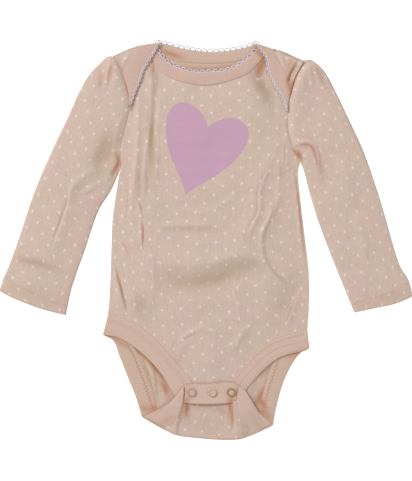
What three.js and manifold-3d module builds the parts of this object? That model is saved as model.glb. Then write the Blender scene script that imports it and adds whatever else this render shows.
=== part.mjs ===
// Long-sleeved baby bodysuit, laid flat on its back with the crotch snapped shut. Millimetres, +Z up.
// The back lies on the surface, the front lies on the back, and the back's two shoulder laps and its
// crotch tab fold over onto the front. Left and right are as seen from above, neck at +Y.
import * as THREE from 'three';
import Module from 'manifold-3d';
import { mergeVertices } from 'three/addons/utils/BufferGeometryUtils.js';

const wasm = await Module();
wasm.setup();

// Cloth
const WALL = 1.0; // jersey of the panels and sleeves
const RIB = 1.2; // rib of the bindings and the placket
const GAP = 0.3; // between layers, and at seams
const PUFF = 1.4; // how far the middle of a panel rises above its edges
const PUFF_REACH = 45; // distance from an edge over which a panel rises

// Heights of the middle of each layer above the surface
const BACK_Z = WALL / 2;
const BACK_RIB_Z = RIB / 2;
const FRONT_Z = WALL + GAP + WALL / 2;
const FRONT_RIB_Z = BACK_RIB_Z + RIB + GAP;
const LAP_RISE = 1.7; // of a lap above the front that it lies on
const SLEEVE_TOP_Z = 2.1;
const TAB_FOLD_Z = 2.4; // of the tab where it has just come round the bottom fold
const TAB_Z = 3.5; // of the tab over the front's end
const PLACKET_Z = 3.75;
const PLACKET_LIP = 1.3; // rise of the placket where its lower edge lies on the tab

// Picot trim and snaps
const PICOT = { wall: 0.9, root: 1.0, loop: 2.4, steps: 4 };
const SNAP = { radius: 4.4, ring: 1.5, height: 1.2, recess: 0.55, sides: 16 };

// Outlines are tables with the columns across and down, in mm from the upper left of the lay.
// The origin of the part is the middle of the lay.
const ORIGIN = { across: 206, down: 240.5 };
const place = ([across, down]) => new THREE.Vector3(across - ORIGIN.across, ORIGIN.down - down, 0);

const ARMHOLE_LEFT = [[121.4, 166], [120, 155], [121.6, 140], [124, 130], [128.2, 115], [129.9, 104],
  [128.7, 92.6], [123.9, 77.3], [119.1, 65.8], [113.6, 57]];
const ARMHOLE_RIGHT = [[300.5, 161], [297.2, 153.5], [292.6, 146.3], [289.4, 138], [287.6, 128], [287.3, 115],
  [288, 103], [291.6, 88], [295, 77.3], [304, 60.4]];
const SIDE_LEFT = [[109.2, 316.7], [109, 300], [110, 275], [111.2, 250], [112, 220], [115, 200],
  [118.8, 178], [121.4, 166]];
const SIDE_RIGHT = [[305.8, 330], [309, 305], [308, 275], [305.5, 245], [302, 218], [299.2, 190],
  [298, 172], [300.5, 161]];
const SHOULDER_LEFT = [[113.6, 57], [119, 54.8], [128.7, 49.6], [139.7, 46.2]];
const SHOULDER_RIGHT = [[304, 60.4], [295.5, 57.9], [289.2, 54.6], [280.6, 51.2], [273, 49.2]];
const LAP_SEAM_LEFT = [[139.7, 46.2], [133.5, 58.2], [128.2, 66.8], [124.3, 76.6]];
const LAP_SEAM_RIGHT = [[273, 49.2], [279, 62], [286, 76], [291, 87.5]];
const LAP_EDGE_LEFT = [[157.4, 43.3], [153.5, 51], [147.8, 60.6], [142.1, 69.7], [138.8, 79.7],
  [133, 94], [129.9, 103]];
const LAP_EDGE_RIGHT = [[256.5, 43.4], [261, 48.5], [267.5, 58.5], [269.5, 70], [275.8, 85.5],
  [283, 97.4], [287.6, 110]];
const FRONT_NECK_SEAM = [[147.5, 50.5], [154, 61], [163.7, 73.8], [180.2, 81.4], [207, 85.5],
  [233.5, 79.5], [247.8, 73.3], [258.4, 62.8], [265.5, 55]];
const FRONT_NECK_EDGE = [[154.5, 46.5], [159, 53.3], [168.6, 63.6], [189, 71.6], [207, 72.6],
  [228, 70.2], [243.5, 62], [253.5, 52.8], [258.5, 47.5]];
const BACK_NECK_SEAM = [[139.7, 46.2], [156, 54.5], [173.5, 60], [190, 62.3], [210, 63.2],
  [232, 61.8], [248, 57.8], [262, 54], [273, 49.2]];
const BACK_NECK_EDGE = [[157.4, 43.3], [168.6, 44.6], [180, 48], [193.6, 50.4], [210, 51.9],
  [226.8, 51], [238.3, 49.1], [250, 46.2], [256.5, 43.4]];

// Leg openings: the binding runs from the crotch along the front, round the hip fold to the back,
// down to the fold at the bottom, and on top of the front again beside the tab.
const LEG_LEFT = {
  frontSeam: [[197, 404], [191.7, 382], [176, 362.5], [160, 344.4], [143.6, 329.2], [125.7, 319.8],
    [109.2, 316.7]],
  frontEdge: [[183, 404], [174.5, 395], [160, 371.6], [138.2, 349.7], [127.9, 342.6], [116.8, 336.8],
    [103.6, 334]],
  backSeam: [[109.2, 316.7], [119, 327], [134.6, 348.8], [142.2, 365.8], [151.5, 390.6],
    [156.8, 408.8], [163, 428]],
  backEdge: [[103.6, 334], [113.2, 340], [120.8, 356.4], [129, 378], [136, 398], [142, 416]],
  tabSeam: [[163, 428], [175.9, 420.2], [180.3, 410], [182.6, 401.5], [183.8, 392]],
  tabEdge: [[142, 416], [157.8, 409.2], [166.4, 404.9], [175, 397.3], [183.8, 386]],
};
const LEG_RIGHT = {
  frontSeam: [[228, 404], [231.7, 381], [245, 364], [256, 351.6], [275.6, 339.2], [295.2, 333.4],
    [305.8, 330]],
  frontEdge: [[241, 404], [245.6, 390.6], [264, 368.9], [279.4, 357.4], [295.2, 352], [303.4, 350.7],
    [309, 347.5]],
  backSeam: [[305.8, 330], [292, 342], [277, 353], [269.4, 373.6], [264, 391], [259.4, 408.3],
    [253, 434]],
  backEdge: [[309, 347.5], [300, 353], [291.9, 363.6], [283.4, 382], [275.2, 409], [272.8, 425]],
  tabSeam: [[253, 434], [243.2, 422.6], [238.6, 412], [237, 401.5], [237.8, 393]],
  tabEdge: [[272.8, 425], [258, 410.7], [249, 396.5], [244.6, 390], [239.2, 386]],
};
const BOTTOM_FOLD = [[163, 428], [176.9, 434.6], [200, 437.5], [222, 440], [233.6, 439.9], [241.7, 438.4],
  [253, 434]];
const TAB_TOP = [[182.6, 401.5], [200, 402], [218, 401.4], [237, 401.5]];
const PLACKET = {
  top: [[184.6, 385], [191, 383.2], [209.7, 383], [218.3, 381.3], [230, 381.6], [237.6, 384.2]],
  bottom: [[183.6, 403], [192, 403.4], [208.7, 403.8], [224, 403], [236.6, 402.6]],
};
const SNAPS = [
  { name: 'snap_left', across: 191.8, down: 391.8 },
  { name: 'snap_middle', across: 212.2, down: 392 },
  { name: 'snap_right', across: 231.1, down: 392 },
];

const SLEEVE_LEFT = {
  outer: [[-0.5, 290.3], [4.6, 276.7], [18.9, 240], [35, 190], [52, 150], [68, 116], [79, 92], [89, 74],
    [100, 63.4], [106, 57.6], [113.6, 57]],
  inner: [[65.8, 313.5], [71.4, 288.5], [84, 250], [98, 210], [110, 190], [118, 173], [121.4, 166]],
  cuff: [[-0.5, 290.3], [8.7, 295], [24.5, 301.7], [43.4, 307.9], [65.8, 313.5]],
};
const SLEEVE_RIGHT = {
  outer: [[412.5, 295.6], [408, 280.3], [395.8, 255.3], [379, 198], [362, 150], [347, 116], [335, 92],
    [326, 74], [319, 66.3], [311, 59.6], [304, 60.4]],
  inner: [[354.4, 311.5], [347.3, 293.6], [332, 256.8], [318, 220], [309, 190], [304.5, 172], [300.5, 161]],
  cuff: [[412.5, 295.6], [403.4, 299.7], [393.2, 303.3], [377.9, 306.3], [354.4, 311.5]],
};

// The largest folds of the upper layer. Columns: rise and width in mm, and the line of the crest.
const FOLDS = [
  { rise: 1.7, width: 6, line: [[140, 96], [137, 160], [139, 198], [143.2, 215], [143.2, 250]] },
  { rise: 1.6, width: 7, line: [[165, 84], [162, 120], [160, 160], [156, 200]] },
  { rise: 2.2, width: 6, line: [[113.7, 262], [119.6, 283], [127, 312]] },
  { rise: 1.4, width: 7, line: [[155, 236], [156, 288], [147, 318]] },
  { rise: 2.6, width: 7, line: [[276, 150], [264, 176], [257.2, 190], [257.2, 212], [248, 228], [246, 250]] },
  { rise: 2.3, width: 6, line: [[289, 136], [286, 168], [279, 192], [270.4, 224], [264, 244], [286, 284]] },
  { rise: 1.5, width: 5, line: [[296.5, 172], [299, 219], [303, 258]] },
  { rise: 1.8, width: 8, line: [[160, 268], [200, 266], [236, 262], [262, 268]] },
  { rise: 1.6, width: 7, line: [[207, 325], [182, 338], [174, 352], [174, 364]] },
  { rise: 1.5, width: 6, line: [[297, 296], [288, 320], [276, 336]] },
  { rise: 1.8, width: 6, line: [[100, 168], [68.3, 187], [57.8, 224], [51, 248]] },
  { rise: 1.2, width: 6, line: [[12, 256], [34, 259], [58, 266]] },
  { rise: 1.8, width: 6, line: [[297, 148], [311, 147], [318.7, 159], [322, 182]] },
  { rise: 1.3, width: 7, line: [[352, 210], [362, 240], [366, 270]] },
];

// Gathers of the sleeve heads: short crests that start at the armhole seam.
const GATHERS = [
  { rise: 1.1, width: 3, line: [[112.4, 59], [109.5, 70], [107.5, 84]] },
  { rise: 0.9, width: 3, line: [[106, 61], [102.5, 71], [99, 82]] },
  { rise: 0.8, width: 3, line: [[118, 68], [115.5, 78], [114, 90]] },
  { rise: 1.0, width: 3, line: [[306.5, 62.5], [310, 74], [312, 86]] },
  { rise: 0.9, width: 3, line: [[299, 72], [303, 82], [306, 94]] },
  { rise: 0.8, width: 3, line: [[314, 64], [318.5, 74], [321, 84]] },
];

const COLOURS = {
  jersey: 0xeccdbf,
  rib: 0xecc4b2,
  trim: 0xf6efec,
  snap: 0xc9b29d,
};

// Points along a smooth line through the rows of a table.
function along(rows, steps) {
  return new THREE.CatmullRomCurve3(rows.map(place), false, 'centripetal').getSpacedPoints(steps);
}

// Lines of points end to end, each starting where the one before it stops.
function endToEnd(...lines) {
  return lines.reduce((all, line) => [...all, ...line.slice(1)]).map((p) => p.clone());
}

// The same line with a point added in the middle of each step.
function halved(points) {
  return points.flatMap((p, i) => (i ? [points[i - 1].clone().lerp(p, 0.5), p] : [p]));
}

// Distance from a point to a line of points in plan, and how far along the line (0 to 1) it is.
function nearest(points, x, y) {
  let best = Infinity;
  let where = 0;
  for (let i = 0; i + 1 < points.length; i++) {
    const a = points[i];
    const b = points[i + 1];
    const dx = b.x - a.x;
    const dy = b.y - a.y;
    const t = THREE.MathUtils.clamp(((x - a.x) * dx + (y - a.y) * dy) / (dx * dx + dy * dy || 1), 0, 1);
    const distance = Math.hypot(x - a.x - t * dx, y - a.y - t * dy);
    if (distance < best) {
      best = distance;
      where = (i + t) / (points.length - 1);
    }
  }
  return { distance: best, where };
}

for (const fold of [...FOLDS, ...GATHERS]) fold.points = along(fold.line, 16);

// Rise of the upper layer from the folds: a soft crest that dies away at both ends.
function foldRise(x, y) {
  let rise = 0;
  for (const { points, rise: crest, width } of [...FOLDS, ...GATHERS]) {
    const { distance, where } = nearest(points, x, y);
    const ends = Math.sin(Math.PI * THREE.MathUtils.clamp(where, 0.04, 0.96)) ** 0.6;
    rise = Math.max(rise, crest * ends * Math.exp(-((distance / width) ** 2)));
  }
  return rise;
}

// A grid of rows between a left and a right edge with the same number of points. The first and last
// rows can bend to lines of their own, and the bend fades away over the rows in between.
function patch(left, right, across, { first, last, reach = 3 } = {}) {
  const rows = [];
  const bend = (point, a, b, u) => point.clone().sub(a.clone().lerp(b, u));
  const end = left.length - 1;
  for (let j = 0; j <= end; j++) {
    const row = [];
    for (let i = 0; i <= across; i++) {
      const u = i / across;
      const p = left[j].clone().lerp(right[j], u);
      if (first) p.addScaledVector(bend(first[i], left[0], right[0], u), (1 - j / end) ** reach);
      if (last) p.addScaledVector(bend(last[i], left[end], right[end], u), (j / end) ** reach);
      row.push(p);
    }
    rows.push(row);
  }
  return rows;
}

// Draws the outer edges of a patch in by half a seam gap. sides names the edges that are seams.
function seamed(rows, sides = 'left right first last') {
  const towards = (p, q) => p.addScaledVector(q.clone().sub(p).setZ(0).normalize(), GAP * 0.7);
  const n = rows.length - 1;
  const m = rows[0].length - 1;
  if (sides.includes('left')) for (const row of rows) towards(row[0], row[1]);
  if (sides.includes('right')) for (const row of rows) towards(row[m], row[m - 1]);
  if (sides.includes('first')) rows[0].forEach((p, i) => towards(p, rows[1][i]));
  if (sides.includes('last')) rows[n].forEach((p, i) => towards(p, rows[n - 1][i]));
  return rows;
}

// Lifts a patch to the height that height(x, y, t) gives, t running from the first row to the last.
function lifted(rows, height) {
  rows.forEach((row, j) => row.forEach((p) => p.setZ(height(p.x, p.y, j / (rows.length - 1)))));
  return rows;
}

// Joins two patches that share a fold line: the first ends there and the second starts there.
// Half a circle of rows goes round the fold, and its outside stays on the line.
function foldedOver(below, above, wall, turns = 4) {
  const n = below.length - 1;
  const line = below[n].map((p) => p.clone());
  const arcs = Array.from({ length: turns - 1 }, () => []);
  line.forEach((p, i) => {
    const before = line[Math.max(i - 1, 0)];
    const after = line[Math.min(i + 1, line.length - 1)];
    const out = new THREE.Vector3(after.y - before.y, before.x - after.x, 0).normalize();
    if (out.dot(p.clone().sub(below[n - 1][i])) < 0) out.negate();
    const radius = Math.abs(above[0][i].z - p.z) / 2;
    const middle = (above[0][i].z + p.z) / 2;
    const sign = Math.sign(above[0][i].z - p.z);
    const inner = p.clone().addScaledVector(out, -radius - wall / 2);
    below[n][i].set(inner.x, inner.y, p.z);
    above[0][i].set(inner.x, inner.y, above[0][i].z);
    arcs.forEach((arc, k) => {
      const angle = (Math.PI * (k + 1)) / turns;
      arc.push(inner.clone().addScaledVector(out, radius * Math.sin(angle))
        .setZ(middle - sign * radius * Math.cos(angle)));
    });
  });
  return [...below, ...arcs, ...above];
}

// A closed body from rows of middle points: each point moves out to both sides along its normal.
// With loop the rows are rings, as in a tube.
function wallOf(rows, wall, loop = false) {
  const n = rows.length;
  const m = rows[0].length;
  const at = (j, i) => rows[j][loop ? (i + m) % m : THREE.MathUtils.clamp(i, 0, m - 1)];
  const vertices = [];
  for (const side of [1, -1]) {
    for (let j = 0; j < n; j++) {
      for (let i = 0; i < m; i++) {
        const u = at(j, i + 1).clone().sub(at(j, i - 1));
        const v = rows[Math.min(j + 1, n - 1)][i].clone().sub(rows[Math.max(j - 1, 0)][i]);
        vertices.push(rows[j][i].clone().addScaledVector(u.cross(v).normalize(), (side * wall) / 2));
      }
    }
  }
  const index = [];
  const id = (side, j, i) => side * n * m + j * m + (i % m);
  const quad = (a, b, c, d) => index.push(a, b, c, a, c, d);
  const columns = loop ? m : m - 1;
  for (let j = 0; j + 1 < n; j++) {
    for (let i = 0; i < columns; i++) {
      quad(id(0, j, i), id(0, j, i + 1), id(0, j + 1, i + 1), id(0, j + 1, i));
      quad(id(1, j, i), id(1, j + 1, i), id(1, j + 1, i + 1), id(1, j, i + 1));
    }
  }
  for (let i = 0; i < columns; i++) {
    quad(id(0, 0, i), id(1, 0, i), id(1, 0, i + 1), id(0, 0, i + 1));
    quad(id(0, n - 1, i + 1), id(1, n - 1, i + 1), id(1, n - 1, i), id(0, n - 1, i));
  }
  if (!loop) {
    for (let j = 0; j + 1 < n; j++) {
      quad(id(0, j + 1, 0), id(1, j + 1, 0), id(1, j, 0), id(0, j, 0));
      quad(id(0, j, m - 1), id(1, j, m - 1), id(1, j + 1, m - 1), id(0, j + 1, m - 1));
    }
  }
  const geometry = new THREE.BufferGeometry().setFromPoints(vertices);
  geometry.setIndex(index);
  return outward(geometry);
}

// Turns a body's faces round when they point inwards.
function outward(geometry) {
  const p = geometry.getAttribute('position');
  const index = geometry.getIndex().array;
  let volume = 0;
  for (let i = 0; i < index.length; i += 3) {
    const [a, b, c] = [0, 1, 2].map((k) => new THREE.Vector3().fromBufferAttribute(p, index[i + k]));
    volume += a.dot(b.cross(c));
  }
  if (volume < 0) for (let i = 0; i < index.length; i += 3) [index[i], index[i + 1]] = [index[i + 1], index[i]];
  return geometry;
}

// A flat panel from its outline, from the surface up.
function flatPanel(outline, wall) {
  const shape = new THREE.Shape(outline.map((p) => new THREE.Vector2(p.x, p.y)));
  return new THREE.ExtrudeGeometry(shape, { depth: wall, bevelEnabled: false });
}

// One solid from several that overlap.
function joined(geometries) {
  const solids = geometries.map((geometry) => {
    const bare = geometry.clone();
    bare.deleteAttribute('normal');
    bare.deleteAttribute('uv');
    const whole = mergeVertices(bare, 1e-4);
    return new wasm.Manifold(new wasm.Mesh({
      numProp: 3,
      vertProperties: new Float32Array(whole.getAttribute('position').array),
      triVerts: new Uint32Array(whole.getIndex().array),
    }));
  });
  const mesh = solids.reduce((sum, next) => sum.add(next)).getMesh();
  const geometry = new THREE.BufferGeometry();
  geometry.setAttribute('position', new THREE.BufferAttribute(mesh.vertProperties, 3));
  geometry.setIndex(new THREE.BufferAttribute(mesh.triVerts, 1));
  return geometry;
}

const group = new THREE.Group();

function add(name, geometry, colour, roughness = 0.95, metalness = 0) {
  geometry.computeVertexNormals();
  const mesh = new THREE.Mesh(geometry, new THREE.MeshStandardMaterial({ color: colour, roughness, metalness }));
  mesh.name = name;
  group.add(mesh);
  return mesh;
}

const reversed = (rows) => [...rows].reverse();

// Seam lines as points, shared by the pieces on both sides of each seam.
const ARMHOLE_STEPS = 10;
const UNDER_LAP = 7; // the step of the armhole where the front ends, under the lap
const LAP_END = 5; // the step where the lap's binding runs out
const seams = {};
for (const [side, leg, flank, armhole, lapSeam, shoulder] of [
  ['left', LEG_LEFT, SIDE_LEFT, ARMHOLE_LEFT, LAP_SEAM_LEFT, SHOULDER_LEFT],
  ['right', LEG_RIGHT, SIDE_RIGHT, ARMHOLE_RIGHT, LAP_SEAM_RIGHT, SHOULDER_RIGHT],
]) {
  seams[side] = {
    legFront: along(leg.frontSeam, 14),
    legBack: along(leg.backSeam, 12),
    flank: along(flank, 10),
    armhole: along(armhole, ARMHOLE_STEPS),
    lap: along(lapSeam, 2),
    shoulder: along(shoulder, 5),
  };
  // The lap's point meets the armhole at one of its own points.
  seams[side].lap[2] = seams[side].armhole[UNDER_LAP + 1].clone();
}
const neckFrontSeam = along(FRONT_NECK_SEAM, 16);

// Front panel: rows run from the crotch end up to the neck.
const frontEdges = ['left', 'right'].map((side) => {
  const { legFront, flank, armhole } = seams[side];
  const corner = side === 'left' ? neckFrontSeam[0] : neckFrontSeam[16];
  const last = armhole[UNDER_LAP];
  return endToEnd(legFront, flank, armhole.slice(0, UNDER_LAP + 1), [last, last.clone().lerp(corner, 0.5), corner]);
});
const FRONT_RIM = [...frontEdges[0], ...reversed(frontEdges[1])];

function frontHeight(x, y) {
  const { distance } = nearest(FRONT_RIM, x, y);
  const inside = THREE.MathUtils.smoothstep(distance, 0, PUFF_REACH);
  const fade = THREE.MathUtils.smoothstep(distance, 0, 7);
  return FRONT_Z + PUFF * inside + foldRise(x, y) * fade;
}

const frontRows = patch(frontEdges[0], frontEdges[1], 16, { last: neckFrontSeam, reach: 5 });
add('front_panel', wallOf(lifted(seamed(frontRows), frontHeight), WALL), COLOURS.jersey);

// Back panel: flat on the surface, with the shoulder laps and the crotch tab folded over the front.
const FOLD_IN = 3.5; // the flat part of the back stops this far short of a fold

// A line moved sideways in plan: to the left of its direction when distance is positive.
function shifted(points, distance) {
  return points.map((p, i) => {
    const a = points[Math.max(i - 1, 0)];
    const b = points[Math.min(i + 1, points.length - 1)];
    const side = new THREE.Vector3(a.y - b.y, b.x - a.x, 0).normalize();
    return p.clone().addScaledVector(side, distance);
  });
}

const backNeck = along(BACK_NECK_SEAM, 14);
// One side of the back from the bottom fold up to the shoulder, its hip corner cut off.
const backSide = ({ legBack, flank, armhole }) => [
  ...reversed(legBack).slice(0, -1), ...flank.slice(1), ...armhole.slice(1)];
const backOutline = [
  ...shifted(backSide(seams.left), -GAP * 0.7).slice(1, -1),
  ...shifted(seams.left.shoulder, -FOLD_IN).slice(1),
  ...shifted(backNeck, -GAP * 0.7).slice(1, -1),
  ...shifted(reversed(seams.right.shoulder), -FOLD_IN).slice(0, -1),
  ...shifted(reversed(backSide(seams.right)), -GAP * 0.7).slice(1, -1),
  ...shifted(along(reversed(BOTTOM_FOLD), 10), -FOLD_IN),
];

// A lap: up from the back at the shoulder, round the fold, and down over the front to a narrow end.
function lap({ shoulder, armhole, lap: seam }, inwards) {
  const root = shifted(shoulder, inwards);
  root[0] = armhole[ARMHOLE_STEPS - 1].clone().lerp(root[1], 0.2);
  const inside = seamed([root, shoulder.map((p) => p.clone())], 'left right');
  const [outer, inner] = [reversed(armhole.slice(UNDER_LAP + 1)), seam].map((line) => (
    halved([line[0], line[1], line[2].clone().lerp(line[1], 0.15)])));
  const over = seamed(patch(outer, inner, 5, { first: shoulder, reach: 2 }), 'left right last');
  const lapHeight = (x, y) => frontHeight(x, y) + LAP_RISE;
  return wallOf(foldedOver(lifted(inside, () => BACK_Z), lifted(over, lapHeight), WALL), WALL);
}

// The tab: round the fold at the bottom and up over the front's end.
function tab() {
  const fold = along(BOTTOM_FOLD, 12);
  const inside = seamed([shifted(fold, 9), fold], 'left right');
  const sides = [LEG_LEFT, LEG_RIGHT].map((leg) => along(leg.tabSeam, 10).slice(0, 9));
  const over = patch(sides[0], sides[1], 12, { first: fold, last: along(TAB_TOP, 12), reach: 2 });
  const tabHeight = (x, y, t) => {
    const ridge = Math.exp(-(((x + 27.5) / 3) ** 2)) + Math.exp(-(((x - 27) / 3) ** 2));
    return TAB_FOLD_Z + (TAB_Z - TAB_FOLD_Z) * t + 1.1 * ridge * Math.sin(Math.PI * Math.min(t * 1.2, 1));
  };
  return wallOf(foldedOver(lifted(inside, () => BACK_Z), lifted(seamed(over, 'left right last'), tabHeight), WALL), WALL);
}

add('back_panel', joined([
  flatPanel(backOutline, WALL),
  lap(seams.left, -9),
  lap(seams.right, 9),
  tab(),
]), COLOURS.jersey);

// A binding: legs of ribbon from a seam line to a free edge, joined by the folds between them.
function binding(legs) {
  const rows = legs
    .map(({ seam, free, height }) => lifted(seamed(patch(seam, along(free, seam.length - 1), 3), 'left'), height))
    .reduce((below, above) => foldedOver(below, above, RIB));
  return wallOf(rows, RIB);
}

// Neck bindings. The back's binding runs on down both laps, over the front's binding.
const frontRibHeight = (x, y) => frontHeight(x, y) + (RIB - WALL) / 2 + 0.1;
const lapRibHeight = (x, y) => frontHeight(x, y) + LAP_RISE + 0.2;
const neckFront = seamed(patch(neckFrontSeam, along(FRONT_NECK_EDGE, 16), 3), 'left');
add('neck_binding_front', wallOf(lifted(neckFront, frontRibHeight), RIB), COLOURS.rib);

// On a lap its seam line first follows the armhole, and then the lap.
const lapSide = ({ armhole, lap: seam }) => halved(endToEnd(armhole.slice(LAP_END, UNDER_LAP + 2), reversed(seam)));
add('neck_binding_back', binding([
  { seam: lapSide(seams.left), free: reversed(LAP_EDGE_LEFT), height: lapRibHeight },
  { seam: backNeck, free: BACK_NECK_EDGE, height: () => BACK_RIB_Z },
  { seam: reversed(lapSide(seams.right)), free: LAP_EDGE_RIGHT, height: lapRibHeight },
]), COLOURS.rib);

// Leg bindings, each one strip from the crotch end of the front to the placket on the tab.
for (const [side, leg] of [['left', LEG_LEFT], ['right', LEG_RIGHT]]) {
  const rise = (x, y, t) => TAB_FOLD_Z + (TAB_Z + 0.1 - TAB_FOLD_Z) * THREE.MathUtils.smoothstep(t, 0.1, 0.8);
  add(`leg_binding_${side}`, binding([
    { seam: seams[side].legFront, free: leg.frontEdge, height: () => FRONT_RIB_Z },
    { seam: seams[side].legBack, free: leg.backEdge, height: () => BACK_RIB_Z },
    { seam: along(leg.tabSeam, 10), free: leg.tabEdge, height: rise },
  ]), COLOURS.rib);
}

// Placket: a strip of rib on the tab's end, its lower edge lifted by the tab beneath it.
const placketRows = patch(along(PLACKET.bottom, 12), along(PLACKET.top, 12), 8);
for (const row of placketRows) {
  row.forEach((p, i) => p.setZ(PLACKET_Z + PLACKET_LIP * (1 - THREE.MathUtils.smoothstep(i / 8, 0.1, 0.3))));
}
add('placket', wallOf(placketRows, RIB), COLOURS.rib);

// Snaps: a raised ring round a sunk middle, turned about its own axis.
function snapGeometry() {
  const { radius, ring, height, recess, sides } = SNAP;
  const profile = [[0, 0], [radius - 0.3, 0], [radius, 0.35], [radius, height - 0.4], [radius - 0.5, height],
    [radius - ring + 0.3, height], [radius - ring, height - 0.3], [radius - ring - 0.2, recess], [0, recess]];
  return new THREE.LatheGeometry(profile.map(([r, z]) => new THREE.Vector2(r, z)), sides);
}
for (const { name, across, down } of SNAPS) {
  const snap = add(name, snapGeometry(), COLOURS.snap, 0.4, 0.1);
  snap.rotation.x = Math.PI / 2;
  snap.position.copy(place([across, down])).setZ(PLACKET_Z + RIB / 2 + GAP);
}

// Sleeves: flattened tubes, open at the cuff and at the armhole, the lower wall flat on the surface.
function sleeve({ outer, inner, cuff }, armhole, outwards) {
  const plan = patch(along(outer, 16), along(inner, 16), ARMHOLE_STEPS,
    { first: along(cuff, ARMHOLE_STEPS), last: shifted(reversed(armhole), outwards * GAP * 1.6), reach: 2.2 });
  const flat = plan[0].length - 1;
  const rings = plan.map((row) => {
    const top = row.map((p, i) => {
      const u = i / flat;
      const inside = Math.sin(Math.PI * u);
      const rise = PUFF * inside + foldRise(p.x, p.y) * THREE.MathUtils.smoothstep(Math.min(u, 1 - u), 0, 0.12);
      return p.clone().setZ(SLEEVE_TOP_Z + rise);
    });
    const bottom = row.map((p) => p.clone().setZ(BACK_Z));
    const radius = (SLEEVE_TOP_Z - BACK_Z) / 2;
    const turn = (i, next) => {
      const out = row[i].clone().sub(row[next]).setZ(0).normalize();
      const drawn = row[i].clone().addScaledVector(out, -radius - WALL / 2);
      top[i].set(drawn.x, drawn.y, SLEEVE_TOP_Z);
      bottom[i].set(drawn.x, drawn.y, BACK_Z);
      return drawn.addScaledVector(out, radius).setZ(BACK_Z + radius);
    };
    const near = turn(0, 1);
    const far = turn(flat, flat - 1);
    return [...top, far, ...bottom.reverse(), near];
  });
  return wallOf(rings, WALL, true);
}
add('sleeve_left', sleeve(SLEEVE_LEFT, seams.left.armhole, -1), COLOURS.jersey);
add('sleeve_right', sleeve(SLEEVE_RIGHT, seams.right.armhole, 1), COLOURS.jersey);

// Picot trim: a narrow strip along a neck edge, its far side scalloped into loops.
function picot(line, height) {
  const root = halved(halved(line));
  const steps = root.length - 1;
  const { wall, root: width, loop } = PICOT;
  const near = shifted(root, GAP * 1.8);
  const far = root.map((p, k) => {
    const reach = GAP * 1.8 + width + loop * Math.abs(Math.sin((Math.PI * k) / PICOT.steps));
    const a = root[Math.max(k - 1, 0)];
    const b = root[Math.min(k + 1, steps)];
    return p.clone().addScaledVector(new THREE.Vector3(a.y - b.y, b.x - a.x, 0).normalize(), reach);
  });
  return wallOf(lifted(patch(near, far, 1), height), wall);
}
add('picot_neck_front', picot(along(FRONT_NECK_EDGE, 20).slice(2, -2), frontRibHeight), COLOURS.trim);
add('picot_neck_back', picot(along(BACK_NECK_EDGE, 16).slice(1, -1), () => BACK_RIB_Z), COLOURS.trim);
add('picot_lap_left', picot(along(LAP_EDGE_LEFT, 12).slice(1, -1), lapRibHeight), COLOURS.trim);
add('picot_lap_right', picot(reversed(along(LAP_EDGE_RIGHT, 12).slice(1, -1)), lapRibHeight), COLOURS.trim);

export default group;
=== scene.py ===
# %% [markdown]
# # A baby bodysuit, laid flat
#
# The real garment is cotton jersey with rib bindings and a white picot edging. It lies on its back:
# the back panel touches the table, the front lies on it, and the back's shoulder laps and crotch tab
# fold over onto the front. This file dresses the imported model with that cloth. Each cloth piece is a
# thin sheet through a grid of points, worked out from short tables of outline points and creases.

# %% Load the fixed frame
import math

import bmesh
import bpy
import numpy as np
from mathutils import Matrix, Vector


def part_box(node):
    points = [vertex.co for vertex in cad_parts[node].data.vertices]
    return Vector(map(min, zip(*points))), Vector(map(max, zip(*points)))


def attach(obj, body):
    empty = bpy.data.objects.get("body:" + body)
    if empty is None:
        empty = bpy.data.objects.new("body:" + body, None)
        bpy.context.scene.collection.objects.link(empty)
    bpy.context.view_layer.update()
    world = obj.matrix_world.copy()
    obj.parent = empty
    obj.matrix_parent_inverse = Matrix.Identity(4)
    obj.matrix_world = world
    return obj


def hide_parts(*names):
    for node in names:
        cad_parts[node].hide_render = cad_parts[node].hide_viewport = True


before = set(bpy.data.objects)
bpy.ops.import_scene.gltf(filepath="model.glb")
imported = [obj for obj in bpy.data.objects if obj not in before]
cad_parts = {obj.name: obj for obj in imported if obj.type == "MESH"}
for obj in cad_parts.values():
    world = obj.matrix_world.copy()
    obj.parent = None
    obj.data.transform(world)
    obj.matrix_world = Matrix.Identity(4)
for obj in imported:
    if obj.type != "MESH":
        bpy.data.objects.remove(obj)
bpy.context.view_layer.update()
print("nodes:", ", ".join(sorted(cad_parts)))

# %% [markdown]
# ## Camera, floor and light
#
# The garment is seen from straight above, so the camera looks down over the middle of the lay. One
# millimetre of cloth is one pixel of the picture, which sets the distance for a given lens. A long
# lens keeps the small heights of the folds from leaning outwards. The floor, at the end of this
# file, glows so that it comes out white. One large soft light stands to the upper left, low enough for
# creases to show, with a weaker one opposite.

# %% Camera
LENS = 85
SENSOR = 36
VIEW_HEIGHT = 0.481
CLOTH_HEIGHT = 0.002
camera_distance = VIEW_HEIGHT * LENS / SENSOR
camera_data = bpy.data.cameras.new("camera")
camera_data.lens = LENS
camera_data.sensor_width = SENSOR
camera = bpy.data.objects.new("camera", camera_data)
camera.location = (0, 0, camera_distance + CLOTH_HEIGHT)
bpy.context.scene.collection.objects.link(camera)
bpy.context.scene.camera = camera
print("camera height", round(camera_distance, 3), "m")

# %% Light
SKY_COLOUR = (1.0, 0.995, 0.985, 1)
SKY_STRENGTH = 0.56
bpy.context.scene.view_settings.view_transform = "Standard"


def area_light(name, place, size, power):
    data = bpy.data.lights.new(name, "AREA")
    data.shape = "DISK"
    data.size = size
    data.energy = power
    light = bpy.data.objects.new(name, data)
    light.location = place
    direction = -light.location
    light.rotation_euler = direction.to_track_quat("-Z", "Y").to_euler()
    bpy.context.scene.collection.objects.link(light)


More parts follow.
